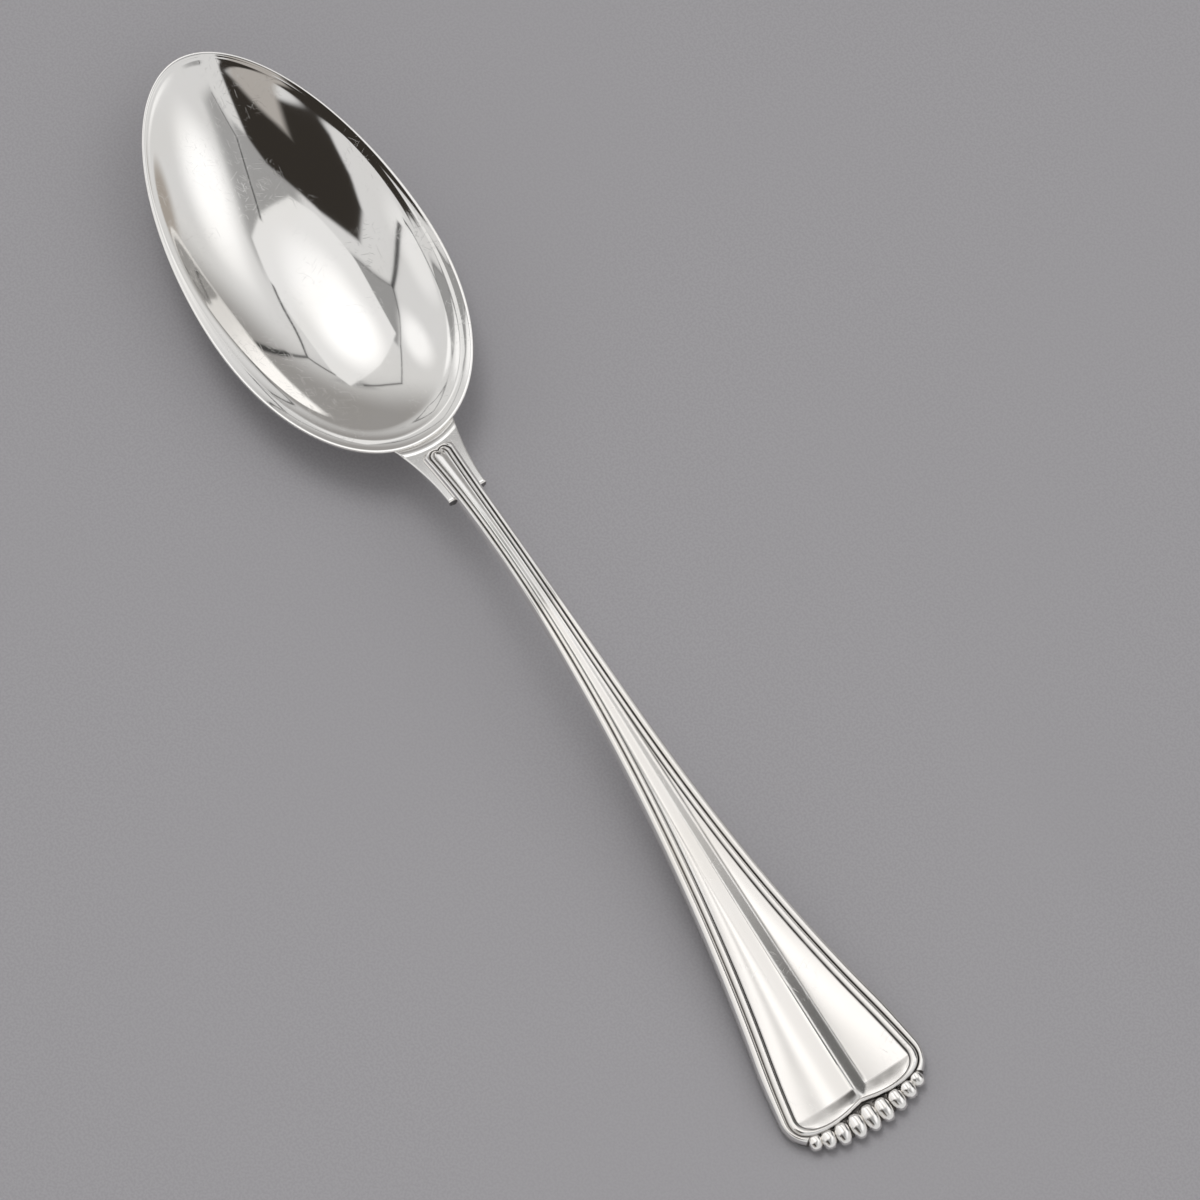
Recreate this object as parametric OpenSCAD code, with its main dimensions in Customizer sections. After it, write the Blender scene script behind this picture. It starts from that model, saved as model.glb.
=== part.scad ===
// Silver table spoon with a flanged bowl, a stepped shoulder plate and a handle with two threads,
// two long flutes and nine lobes. X runs from the tip of the bowl to the end of the handle, Y across,
// Z up. The spoon lies bowl upwards on the table at Z = 0, with the origin under the middle of its length.

/* [Overall] */
// Length from the tip of the bowl to the tip of the middle lobe
overall_len = 213; // [190:1:240]

/* [Bowl] */
// Length of the bowl from its tip to the shoulder plate
bowl_len = 78.8; // [72:0.2:88]
// Greatest width of the bowl
bowl_w = 41.6; // [34:0.2:48]
// Height of the rim above the table where it is lowest
rim_low_h = 9; // [8:0.1:11]
// How much higher the rim is at the tip
tip_lift = 3.5; // [2:0.1:5]
// Thickness of the bowl's floor
floor_t = 1.2; // [0.9:0.05:1.6]
// Thickness of the bowl's wall, measured level
wall_t = 0.9; // [0.7:0.05:1.2]
// Thickness of the rim below its inner surface
rim_t = 0.45; // [0.3:0.05:0.7]
// Width of the flat top of the rim
rim_land = 0.45; // [0.3:0.05:0.7]
// Width of the flange inside the rim at the heel
flange_heel_w = 4.4; // [3:0.1:5.5]
// Width of the flange at the tip
flange_tip_w = 0.9; // [0.6:0.1:1.5]
// Depth of the flange below the rim at the heel
flange_drop = 1; // [0.6:0.1:1.5]
// Softness of the roll from the flange into the well
roll_soft = 0.3; // [0.2:0.05:0.8]

/* [Heel drop] */
// Length of the tongue on the back of the bowl
drop_len = 13; // [9:0.5:17]
// Width of the tongue at the shoulder plate
drop_w = 9.4; // [7:0.2:10.4]
// Thickness of the tongue at the shoulder plate
drop_t = 1.5; // [1:0.1:1.8]
// Thickness of the tongue at its tip
drop_tip_t = 0.45; // [0.3:0.05:0.8]

/* [Shoulder plate] */
// Length of the plate from the bowl to the step
plate_len = 12.7; // [10:0.1:15]
// Width of the plate at the bowl
plate_bowl_w = 11.4; // [9.6:0.2:13]
// Width of the plate at the step
plate_step_w = 7; // [6.2:0.1:8]
// Thickness of the plate at the bowl
plate_t = 2.6; // [2.4:0.1:3.2]
// Length of the hollow ramp between the bowl and the top of the plate
ramp_len = 2; // [1.8:0.1:3.2]
// Height of the bed above the rim where the handle begins
neck_rise = 0.5; // [0.2:0.05:0.9]

/* [Stem and handle] */
// Height that sets the arch of the handle
arch_h = 16.5; // [14:0.1:19]
// Narrowest width of the stem
stem_w = 4.6; // [4.2:0.1:5.4]
// Width that the handle's sides reach at the corners
handle_w = 26.1; // [22:0.1:30]
// Thickness of the stem's core at the step
stem_t = 2.8; // [2.5:0.1:3.4]
// Thickness of the core at the end of the handle
end_t = 1.15; // [1:0.05:1.6]
// Overhang of the lobes past the end of the core
lobe_overhang = 1; // [0.6:0.1:1.4]
// Hollow of the end's arc between the middle and the corners
end_sag = 4.2; // [3:0.1:5.5]
// Length of the rounding at the corners of the end
corner_len = 4; // [3:0.1:6]
// Gap of the soldered seams
seam = 0.03; // [0.02:0.01:0.05]

/* [Threads] */
// Width of the outer thread on the stem
outer_stem_w = 0.98; // [0.85:0.01:1.1]
// Width of the outer thread at the corners
outer_end_w = 1.3; // [1.1:0.05:1.6]
// Width of the inner thread on the stem
inner_stem_w = 0.62; // [0.5:0.02:0.7]
// Width of the inner thread beside the flutes' ends
inner_end_w = 1.35; // [1:0.05:1.6]
// Width of the inner thread across the end
lip_w = 0.75; // [0.6:0.05:1]
// Height of the grooves beside the threads above the bed
groove_h = 0.95; // [0.8:0.05:1.1]
// Height of the crest of the threads above the grooves
crest_h = 0.45; // [0.3:0.05:0.6]
// Height of the outer thread's outer edge above the bed
foot_h = 0.15; // [0.1:0.05:0.3]
// Room between the ramp's edge and the thread across the neck
frame_gap = 0.6; // [0.3:0.1:1]
// Depth of the cusp of the panel at the neck
neck_cusp = 0.6; // [0.3:0.05:0.8]

/* [Fluted panel] */
// Height above the bed that the ridge nears where the panel is wide
ridge_h = 1.4; // [1.2:0.05:1.5]
// Height above the bed that the flutes' floors near where the panel is wide
flute_floor_h = 0.15; // [0.1:0.05:0.4]
// Half width of the panel at which ridge and floors are halfway to those heights
flute_half_w = 1.5; // [1:0.1:3]
// Softness of the foot of the ridge
ridge_soft = 0.12; // [0.05:0.01:0.2]
// Length of the sloping wall at the end of each flute
end_wall_len = 2.5; // [1.8:0.1:4]
// Length of the sloping wall at the neck
neck_wall_len = 1; // [0.6:0.1:2]
// Depth of the cusp between the two bowed ends of the panel
end_cusp = 0.85; // [0.5:0.05:1.2]

/* [Lobes] */
// Distance from the tip of the middle lobe to its inner end
lobe_len = 4.5; // [3.6:0.1:5.2]
// Gap between the middle lobe and its neighbours
lobe_gap = 0.14; // [0.08:0.02:0.4]
// Room between the inner thread's lip and the core's end
lip_room = 3.2; // [2.8:0.1:4]
// Height of the lobes' axis above the bed
lobe_lift = 0.1; // [0:0.05:0.3]
// Angle of the outermost lobes to the length of the spoon
lobe_fan = 13; // [6:1:18]
// Angle by which the lobes dip towards their tips
lobe_dip = 6; // [0:1:10]

/* [Hidden] */
silver = [0.87, 0.86, 0.84];
soft_silver = [0.80, 0.79, 0.77];

// Shares of the bowl's length, its radius or its powers
widest_share = 0.57;
rim_low_share = 0.8;
flat_share = 0.13;
tip_power = 1.95;
heel_power = 2.08;
flange_power = 1.1;
well_power = 2.5;

// Shares of the arch's height for the control points of the bed line between its two ends
bed_control_shares = [1.03, 1.53, 0.41, 0.47, 0.13];
// Places on the handle as shares of its length from the bowl to the core's end
waist_share = 0.188;
corner_share = 0.9436;
// Powers of the flare and how the sides ease off near the corners, as shares
flare_power = 2.32;
neck_power = 2.6;
ease_share = 0.9;
ease_gain_share = 3.5;
core_side_share = 0.4;
core_power = 2.6;
taper_power = 1.6;
plate_power = 1.8;
drop_taper_share = 0.45;
drop_round_share = 0.85;
frame_corner_share = 0.5;
// Crest of the outer thread as a share of its width
crest_share = 0.42;
// End of the outer thread round the corner, as a share of the half width
thread_end_share = 0.8;
// Place of the arris between the flange's two coves, and the steepness of the ridge's sides, as shares
arris_share = 0.5;
ridge_side_share = 0.46;
flute_rise_power = 2.6;
// How far the panel's rows crowd towards its two ends, as a share
row_crowd_share = 0.75;

// Places across the half width and along the length where the surfaces are sampled
across_shares = [0, 0.22, 0.45, 0.65, 0.82, 0.93, 0.98, 1];
rows = 38;
bowl_sectors = 56;
well_shares = [0.15, 0.34, 0.52, 0.68, 0.81, 0.91, 0.97, 1.01];
flange_shares = [0.25, 0.5, 0.75, 1];
back_shares = [1, 0.95, 0.88, 0.78, 0.66, 0.52, 0.36, 0.2, 0.13];
plate_row_shares = [0.3, 0.6, 0.8, 1];
ramp_shares = [0, 0.35, 0.7, 1];
thread_shares = [0, 0.1, 0.25, 0.42, 0.62, 0.82, 0.94, 1];
lobe_y_shares = [0, 0.202, 0.41, 0.598, 0.758];
lobe_len_shares = [1, 0.9, 0.78, 0.64, 0.52];
lobe_w_shares = [1, 0.99, 0.95, 0.82, 0.73];
lobe_profile_shares = [[0, 0], [0.02, 0.3], [0.06, 0.52], [0.13, 0.74], [0.22, 0.9], [0.32, 0.98], [0.42, 1],
    [0.55, 0.98], [0.68, 0.91], [0.8, 0.78], [0.9, 0.58], [0.97, 0.33], [1, 0]];
lobe_facets = 40;

// Derived places along X, from the tip of the bowl
half_bowl = bowl_w / 2;
widest_x = bowl_len * widest_share;
core_end = overall_len - lobe_overhang;
handle_len = core_end - bowl_len;
step_x = bowl_len + plate_len;
waist_x = bowl_len + handle_len * waist_share;
corner_x = bowl_len + handle_len * corner_share;
frame_x = bowl_len + ramp_len + frame_gap;
rim_heel_h = rim_h(bowl_len);
well_depth = rim_low_h - floor_t - flange_drop;
lobe_w = handle_w / 2 * lobe_y_shares[1] - lobe_gap;
bed_controls = concat([rim_heel_h + neck_rise], arch_h * bed_control_shares, [end_t]);
half_list = across_shares;
across_list = concat([for (i = [len(half_list) - 1 : -1 : 1]) -half_list[i]], half_list);
row_list = [for (i = [0 : rows]) i / rows];

// General functions
function mix(a, b, s) = a + (b - a) * s;
function clamp(s) = max(0, min(1, s));
function smooth(s) = clamp(s) * clamp(s) * (3 - 2 * clamp(s));
function soft_max(a, b, k) = (a + b + sqrt((a - b) * (a - b) + k * k)) / 2;
function curve(c, s) = len(c) == 1 ? c[0] : curve([for (i = [0 : len(c) - 2]) mix(c[i], c[i + 1], s)], s);
function flatten(rows) = [for (row = rows, p = row) p];
function reversed(list) = [for (i = [len(list) - 1 : -1 : 0]) list[i]];
function round_end(s, power) = 1 - sqrt(max(0, 1 - pow(abs(s), power)));

// Bowl: height of the rim's line, outline and depth
function rim_h(x) = rim_low_h + tip_lift * pow((x - bowl_len * rim_low_share) / (bowl_len * rim_low_share), 2);
function bowl_power(x) = x < widest_x ? tip_power : heel_power;
function bowl_reach(x) = x < widest_x ? widest_x : bowl_len - widest_x;
function bowl_radius(x, y) =
    pow(pow(abs(x - widest_x) / bowl_reach(x), bowl_power(x)) + pow(abs(y) / half_bowl, bowl_power(x)),
        1 / bowl_power(x));
function heel_x(y) = widest_x + (bowl_len - widest_x) * pow(1 - pow(abs(y) / half_bowl, heel_power), 1 / heel_power);
function outline_point(a) =
    let (power = cos(a) > 0 ? heel_power : tip_power, reach = cos(a) > 0 ? bowl_len - widest_x : widest_x)
    [reach * sign(cos(a)) * pow(abs(cos(a)), 2 / power), half_bowl * sign(sin(a)) * pow(abs(sin(a)), 2 / power)];
function heelward(p) = p[0] / norm(p);
function flange_w(p) = mix(flange_tip_w, flange_heel_w, pow((1 + heelward(p)) / 2, flange_power));
function cove(q) = 1 - pow(1 - q, 2);
function two_coves(q) = q < arris_share
    ? arris_share * cove(q / arris_share)
    : mix(arris_share, 1, cove((q - arris_share) / (1 - arris_share)));
function raw_depth(r, p) =
    let (edge = 1 - flange_w(p) / norm(p), q = clamp((1 - r) / (1 - edge)),
        drop = flange_drop * flange_w(p) / flange_heel_w)
    soft_max(drop * two_coves(q), drop + well_depth * (1 - pow(r / edge, well_power)), roll_soft);
function depth_share(r, p) = (raw_depth(r, p) - raw_depth(1, p)) / (raw_depth(0, p) - raw_depth(1, p));
function inner_h(r, p, x) = rim_h(x) - depth_share(r, p) * (rim_h(x) - floor_t);
function shell_t(r) = mix(rim_t, floor_t, 1 - pow(r, 3));
function outer_h(r, p, x) = r <= flat_share ? 0
    : rim_h(x) - depth_share(r - wall_t / norm(p) * r * r, p) * (rim_h(x) - floor_t) - shell_t(r);
function land_scale(p) = 1 - rim_land / norm(p);
function inner_point(r, p) =
    let (x = widest_x + p[0] * r * land_scale(p))
    [x, p[1] * r * land_scale(p), inner_h(r, p, x)];
function outer_point(r, p) = [widest_x + p[0] * r, p[1] * r, outer_h(r, p, widest_x + p[0] * r)];
function edge_share(p) = 1 - flange_w(p) / norm(p);
// Height of the bowl's back at a place in plan
function back_h(x, y) =
    let (r = min(1, bowl_radius(x, y)), p = [x - widest_x, y] / r)
    outer_h(r, p, x);

// Handle: bed line, thickness and widths
function bed_h(x) = curve(bed_controls, (x - bowl_len) / handle_len);
function core_t(x) = end_t + (stem_t - end_t) * pow(clamp((core_end - x) / (core_end - step_x)), taper_power);
function flare(x) = (x - waist_x) / (corner_x - waist_x);
function side_w(x) = x < waist_x
    ? stem_w / 2 + inner_stem_w * pow((waist_x - x) / (waist_x - frame_x), neck_power)
    : stem_w / 2 + flare_gain * pow(flare(x), flare_power)
        - ease_gain_share * handle_w / 2 * pow(max(0, flare(x) - ease_share), 2);
flare_gain = (handle_w / 2 * (1 + ease_gain_share * pow(1 - ease_share, 2)) - stem_w / 2);
function outer_w(x) = mix(outer_stem_w, outer_end_w, smooth(flare(x)));
function inner_w(x) = mix(inner_stem_w, inner_end_w, smooth(flare(x)));
// Edge lines in plan: 0 is the panel's edge, 1 lies between the threads, 2 is the outside
function line_w(k, x) = side_w(x) - (k < 2 ? outer_w(x) : 0) - (k < 1 ? inner_w(x) : 0);
function neck_line(k) = frame_x + (k < 2 ? outer_stem_w : 0) + (k < 1 ? inner_stem_w : 0);
function neck_round(k) = frame_corner_share * (stem_w - (k < 2 ? outer_stem_w : 0) - (k < 1 ? inner_stem_w : 0)) / 2;
function neck_x(k, u) =
    neck_line(k) - neck_cusp * (2.2 - k) / 2.2 * abs(sin(180 * u)) + neck_round(k) * round_end(u, 4);
lip_x = core_end - lip_room;
function lip_line(k, u) = lip_x - end_cusp - (k < 1 ? lip_w : 0) + end_cusp * abs(sin(180 * u));
function end_x(k, u) = k == 2
    ? core_end - end_sag * u * u - corner_len * round_end(u, 8)
    : lip_line(k, u) - (corner_len - (2 - k) * outer_end_w / 2) * round_end(u, 8);
// A place on an edge line is [0, share across the neck], [1, share along] or [2, share across the end]
function line_x(k, place) = place[0] == 0 ? neck_x(k, place[1])
    : place[0] == 2 ? end_x(k, place[1])
    : mix(neck_x(k, 1), end_x(k, 1), place[1]);
function line_point(k, place) =
    let (x = line_x(k, place))
    [x, line_w(k, x) * (place[0] == 1 ? 1 : place[1])];
side_places = [for (i = [1 : rows - 1]) [1, row_list[i]]];
neck_places = [for (u = half_list) [0, u]];
end_places = [for (u = reversed(half_list)) [2, u]];
half_places = concat(neck_places, side_places, end_places);

// Solids from matching grids of points on their upper and lower faces
module slab(top, bottom, loop = false) {
    n = len(top);
    m = len(top[0]);
    spans = loop ? n - 1 : n - 2;
    points = concat(flatten(top), flatten(bottom));
    upper = [for (i = [0 : spans], j = [0 : m - 2])
        let (a = i * m + j, b = ((i + 1) % n) * m + j)
        each [[a, a + 1, b + 1], [a, b + 1, b]]];
    lower = [for (f = upper) [for (v = reversed(f)) v + n * m]];
    sides = [for (i = [0 : spans])
        let (a = i * m, b = ((i + 1) % n) * m, z = n * m, e = m - 1)
        each [[a, b, b + z], [a, b + z, a + z], [b + e, a + e, a + e + z], [b + e, a + e + z, b + e + z]]];
    ends = loop ? [] : [for (j = [0 : m - 2])
        let (z = n * m, a = j, b = (n - 1) * m + j)
        each [[a + 1, a, a + z], [a + 1, a + z, a + 1 + z], [b, b + 1, b + 1 + z], [b, b + 1 + z, b + z]]];
    polyhedron(points, concat(upper, lower, sides, ends), convexity = 8);
}

// A closed shell from rings of points, closed by a point at each end
module ring_shell(rings, first, last) {
    n = len(rings);
    m = len(rings[0]);
    points = concat(flatten(rings), [first, last]);
    bands = [for (i = [0 : n - 2], j = [0 : m - 1])
        let (k = (j + 1) % m, a = i * m, b = (i + 1) * m)
        each [[a + j, b + j, b + k], [a + j, b + k, a + k]]];
    caps = [for (j = [0 : m - 1])
        let (k = (j + 1) % m, b = (n - 1) * m)
        each [[n * m, j, k], [n * m + 1, b + k, b + j]]];
    polyhedron(points, concat(bands, caps), convexity = 8);
}

module bowl() {
    directions = [for (i = [0 : bowl_sectors - 1]) outline_point(360 * i / bowl_sectors)];
    well = [for (s = well_shares) [for (p = directions) inner_point(s * edge_share(p), p)]];
    flange = [for (s = flange_shares) [for (p = directions) inner_point(mix(edge_share(p), 1, s), p)]];
    rim = [[for (p = directions) [widest_x + p[0], p[1], rim_h(widest_x + p[0])]]];
    back = [for (r = back_shares) [for (p = directions) outer_point(r, p)]];
    color(silver) ring_shell(concat(well, flange, rim, back), [widest_x, 0, floor_t], [widest_x, 0, 0]);
}

module heel_drop() {
    function tongue_w(v) = drop_w / 2 * (1 - drop_taper_share * v);
    function tongue_x(u, v) = heel_x(drop_w / 2 * u) - v * drop_len * sqrt(1 - drop_round_share * u * u);
    function tongue_h(u, v) = back_h(tongue_x(u, v), tongue_w(v) * u) - 2 * seam;
    function tongue_t(u, v) = mix(drop_t, drop_tip_t, v) * (1 - u * u / 2);
    shares = [for (i = [10 : -1 : 0]) i / 10];
    top = [for (v = shares) [for (u = across_list) [tongue_x(u, v), tongue_w(v) * u, tongue_h(u, v)]]];
    bottom = [for (v = shares) [for (u = across_list)
        [tongue_x(u, v), tongue_w(v) * u, tongue_h(u, v) - tongue_t(u, v)]]];
    color(soft_silver) slab(top, bottom);
}

// Upper face of the plate: a hollow ramp, then the bed line
function plate_top_h(x, front) = x - front < ramp_len
    ? mix(rim_h(front), bed_h(front + ramp_len), pow((x - front) / ramp_len, 2))
    : bed_h(x);
function core_bottom_h(x, u, t) =
    bed_h(x) - t * (core_side_share + (1 - core_side_share) * sqrt(max(0, 1 - pow(abs(u), core_power))));

module shoulder_plate() {
    function front_x(u) = heel_x(plate_bowl_w / 2 * u) + seam;
    function ramp_x(u, s) = front_x(u) + ramp_len * s;
    function flat_x(u, s) = mix(ramp_x(u, 1), step_x, s);
    function plate_w(x, u) =
        mix(plate_step_w, plate_bowl_w, pow(clamp((step_x - x) / (step_x - front_x(u))), plate_power)) / 2;
    function plate_point(u, x) = [x, plate_w(x, u) * u];
    function plate_thick(x) = mix(plate_t, stem_t, clamp((x - bowl_len) / plate_len));
    grid = concat([for (s = ramp_shares) [for (u = across_list) [u, ramp_x(u, s)]]],
        [for (s = plate_row_shares) [for (u = across_list) [u, flat_x(u, s)]]]);
    top = [for (row = grid) [for (g = row)
        concat(plate_point(g[0], g[1]), plate_top_h(g[1], front_x(g[0])))]];
    bottom = [for (row = grid) [for (g = row)
        concat(plate_point(g[0], g[1]), core_bottom_h(g[1], g[0], plate_thick(g[1])))]];
    color(silver) slab(top, bottom);
}

module stem() {
    function core_x(u, v) = mix(step_x + seam, end_x(2, u), v);
    grid = [for (v = row_list) [for (u = across_list) [u, core_x(u, v)]]];
    top = [for (row = grid) [for (g = row) [g[1], side_w(g[1]) * g[0], bed_h(g[1])]]];
    bottom = [for (row = grid) [for (g = row)
        [g[1], side_w(g[1]) * g[0], core_bottom_h(g[1], g[0], core_t(g[1]))]]];
    color(soft_silver) slab(top, bottom);
}

module fluted_panel() {
    function panel_x(u, v) = mix(neck_x(0, abs(u)), end_x(0, abs(u)), v);
    function gained(w, to) = mix(groove_h, to, w / (w + flute_half_w));
    function side_h(u, w) = gained(w, ridge_h) - ridge_side_share * abs(u) * w;
    function floor_h(u, w) = mix(gained(w, flute_floor_h), groove_h, pow(abs(u), flute_rise_power));
    function flute_h(u, w) = soft_max(side_h(u, w), floor_h(u, w), ridge_soft);
    function off_end(x, u) = clamp((end_x(0, abs(u)) - x) / end_wall_len);
    function off_neck(x, u) = clamp((x - neck_x(0, abs(u))) / neck_wall_len);
    function walled_h(h, s) = max(mix(groove_h, flute_floor_h, s), min(h, mix(groove_h, ridge_h, s)));
    function panel_h(x, u) =
        bed_h(x) + walled_h(flute_h(u, line_w(0, x)), min(off_end(x, u), off_neck(x, u)));
    function inset(x) = line_w(0, x) - seam;
    crowded = [for (v = row_list) mix(v, (1 - cos(180 * v)) / 2, row_crowd_share)];
    grid = [for (v = crowded) [for (u = across_list) [u, panel_x(u, v)]]];
    top = [for (row = grid) [for (g = row) [g[1], inset(g[1]) * g[0], panel_h(g[1], g[0])]]];
    bottom = [for (row = grid) [for (g = row) [g[1], inset(g[1]) * g[0], bed_h(g[1]) + seam]]];
    color(silver) slab(top, bottom);
}

// A thread follows two neighbouring edge lines; its section is a list of [share across, height]
module thread(places, mirrored, k, section, loop) {
    function station(place, side) =
        let (a = line_point(k, place), b = line_point(k + 1, place), d = (b - a) * seam / norm(b - a))
        [[a[0] + d[0], side * (a[1] + d[1])], [b[0], side * b[1]]];
    stations = concat([for (place = mirrored) station(place, -1)], [for (place = places) station(place, 1)]);
    function across(s, f) = s[0] + (s[1] - s[0]) * f;
    top = [for (s = stations) [for (f = section)
        let (p = across(s, f[0]))
        concat(p, bed_h(p[0]) + f[1])]];
    bottom = [for (s = stations) [for (f = section)
        let (p = across(s, f[0]))
        concat(p, bed_h(p[0]) + seam)]];
    slab(top, bottom, loop);
}

module inner_thread() {
    section = [for (f = thread_shares) [f, groove_h + crest_h * pow(sin(180 * f), 0.7)]];
    back_places = [for (i = [len(half_places) - 2 : -1 : 1]) half_places[i]];
    color(silver) thread(half_places, back_places, 0, section, true);
}

module outer_thread() {
    function crown(f) = f < crest_share
        ? groove_h + crest_h * sin(90 * f / crest_share)
        : foot_h + (groove_h + crest_h - foot_h) * sqrt(1 - pow((f - crest_share) / (1 - crest_share), 2));
    section = [for (f = thread_shares) [f, crown(f)]];
    kept_places = [for (place = half_places) if (place[0] < 2 || place[1] >= thread_end_share) place];
    back_places = [for (i = [len(kept_places) - 1 : -1 : 1]) kept_places[i]];
    color(silver) thread(kept_places, back_places, 1, section, false);
}

// The end of the core in plan, which the lobes sit on and hang over
module core_end_plan(room) {
    far_x = lip_x - lobe_len;
    arc = [for (u = across_list) [end_x(2, u) + room, side_w(end_x(2, u)) * u]];
    polygon(concat([[far_x, -handle_w]], [[end_x(2, 1), -handle_w]], arc, [[end_x(2, 1), handle_w]],
        [[far_x, handle_w]]));
}

module lobe(number) {
    place = number - 5;
    i = abs(place);
    y = sign(place) * handle_w / 2 * lobe_y_shares[i];
    tip_x = overall_len - (end_x(2, 0) - end_x(2, abs(y) / side_w(core_end - end_sag * lobe_y_shares[i])));
    length = lobe_len * lobe_len_shares[i];
    radius = lobe_w * lobe_w_shares[i] / 2;
    slope = atan((bed_h(core_end) - bed_h(core_end - lobe_len)) / lobe_len);
    profile = [for (s = lobe_profile_shares) [radius * s[1], length * s[0]]];
    color(silver) difference() {
        translate([tip_x, y, bed_h(core_end) + lobe_lift])
            rotate([0, 0, sign(place) * lobe_fan * lobe_y_shares[i] / lobe_y_shares[4]])
            rotate([0, 90 + lobe_dip, 0])
            translate([0, 0, -length])
            rotate_extrude($fn = lobe_facets) polygon(profile);
        translate([core_end, 0, bed_h(core_end) + seam])
            rotate([0, -slope, 0])
            translate([-core_end, 0, -overall_len])
            linear_extrude(overall_len) core_end_plan(seam);
    }
}

translate([-overall_len / 2, 0, 0]) {
    bowl();
    heel_drop();
    shoulder_plate();
    stem();
    fluted_panel();
    inner_thread();
    outer_thread();
    for (number = [1 : 9]) {
        lobe(number);
    }
}
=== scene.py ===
"""A silver table spoon: flanged bowl, stepped shoulder plate, arched handle with two threads, a fluted
panel and nine lobes. Every length is in metres. X runs from the tip of the bowl to the end of the handle,
Y across and Z up, in the frame of the packed solids."""

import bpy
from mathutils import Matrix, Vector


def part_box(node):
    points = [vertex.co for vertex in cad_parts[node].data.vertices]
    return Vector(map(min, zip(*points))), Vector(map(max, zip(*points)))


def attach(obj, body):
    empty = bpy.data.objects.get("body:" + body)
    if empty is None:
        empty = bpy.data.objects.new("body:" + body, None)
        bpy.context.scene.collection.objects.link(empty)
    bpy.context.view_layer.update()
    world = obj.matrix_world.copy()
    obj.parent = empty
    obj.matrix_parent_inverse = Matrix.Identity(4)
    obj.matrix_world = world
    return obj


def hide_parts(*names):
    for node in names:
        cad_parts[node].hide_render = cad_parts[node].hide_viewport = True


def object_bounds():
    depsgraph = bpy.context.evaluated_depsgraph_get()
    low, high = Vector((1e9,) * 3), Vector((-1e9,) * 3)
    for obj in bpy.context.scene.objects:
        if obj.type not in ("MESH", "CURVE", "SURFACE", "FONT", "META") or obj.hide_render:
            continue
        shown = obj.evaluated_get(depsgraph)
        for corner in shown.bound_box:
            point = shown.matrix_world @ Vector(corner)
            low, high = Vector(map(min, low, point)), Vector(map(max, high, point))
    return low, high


bl_info = {
    "name": "Threaded Table Spoon",
    "version": (1, 0, 0),
    "blender": (4, 5, 0),
    "location": "View3D > Sidebar > Spoon",
    "description": "Makes a silver table spoon piece by piece round its packed solids",
    "category": "Add Mesh",
}

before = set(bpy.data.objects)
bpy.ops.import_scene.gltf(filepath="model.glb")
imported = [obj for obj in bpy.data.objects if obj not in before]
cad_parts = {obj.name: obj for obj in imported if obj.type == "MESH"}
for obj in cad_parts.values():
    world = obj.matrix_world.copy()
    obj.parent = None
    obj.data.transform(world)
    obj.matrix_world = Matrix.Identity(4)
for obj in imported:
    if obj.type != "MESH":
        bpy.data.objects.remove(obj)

import math

import bmesh
import bpy
import numpy as np
from mathutils import Matrix, Vector

CAD_LOW, CAD_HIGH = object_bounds()
BOWL_LOW, BOWL_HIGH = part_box("bowl")
PLATE_LOW, PLATE_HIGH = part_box("shoulder_plate")
STEM_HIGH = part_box("stem")[1]
BODY = "root"
EDGE_POINTS = 6        # points across a worn edge
SHARP_ABOVE = 42       # degrees between faces from which an edge stays sharp
LOBE_SHARP_ABOVE = 50  # and the same on the lobes and darts


# Sizes that a user would change

def distance(name, default, description):
    """A length in metres."""
    return bpy.props.FloatProperty(name=name, description=description, default=default, min=0.0,
                                   precision=5, unit="LENGTH", subtype="DISTANCE")


def share(name, default, description, high=1.0):
    """A plain number without a unit."""
    return bpy.props.FloatProperty(name=name, description=description, default=default, min=0.0,
                                   max=high, precision=3)


def angle(name, default, description):
    """An angle, given here in degrees."""
    return bpy.props.FloatProperty(name=name, description=description, default=math.radians(default),
                                   unit="ROTATION", subtype="ANGLE")


def tint(name, default, description):
    """A colour of light or metal."""
    return bpy.props.FloatVectorProperty(name=name, description=description, default=default, size=3,
                                         min=0.0, max=1.0, subtype="COLOR")


class SpoonBowlSizes(bpy.types.PropertyGroup):
    """Sizes of the bowl."""
    length: distance("Length", BOWL_HIGH.x - BOWL_LOW.x, "From the tip to the shoulder plate")
    width: distance("Width", BOWL_HIGH.y - BOWL_LOW.y, "Greatest width of the bowl")
    rim_low: distance("Lowest rim", 0.009, "Height of the rim where it is lowest")
    tip_lift: distance("Tip lift", 0.0035, "How much higher the rim is at the tip")
    floor: distance("Floor", 0.0012, "Thickness of the bowl's floor")
    wall: distance("Wall", 0.0009, "Thickness of the bowl's wall, measured level")
    rim: distance("Rim", 0.00045, "Thickness of the rim below its inner surface")
    land: distance("Rim land", 0.00045, "Width of the flat top of the rim")
    flange_heel: distance("Flange at the heel", 0.0044, "Width of the flange inside the rim at the heel")
    flange_tip: distance("Flange at the tip", 0.0009, "Width of the flange inside the rim at the tip")
    flange_drop: distance("Flange drop", 0.0013, "Depth of the flange below the rim at the heel")
    roll: distance("Roll", 0.0003, "Softness of the roll from the flange into the well")
    rounding: distance("Edge rounding", 0.00018, "Radius worn on the edges of the rim")


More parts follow.
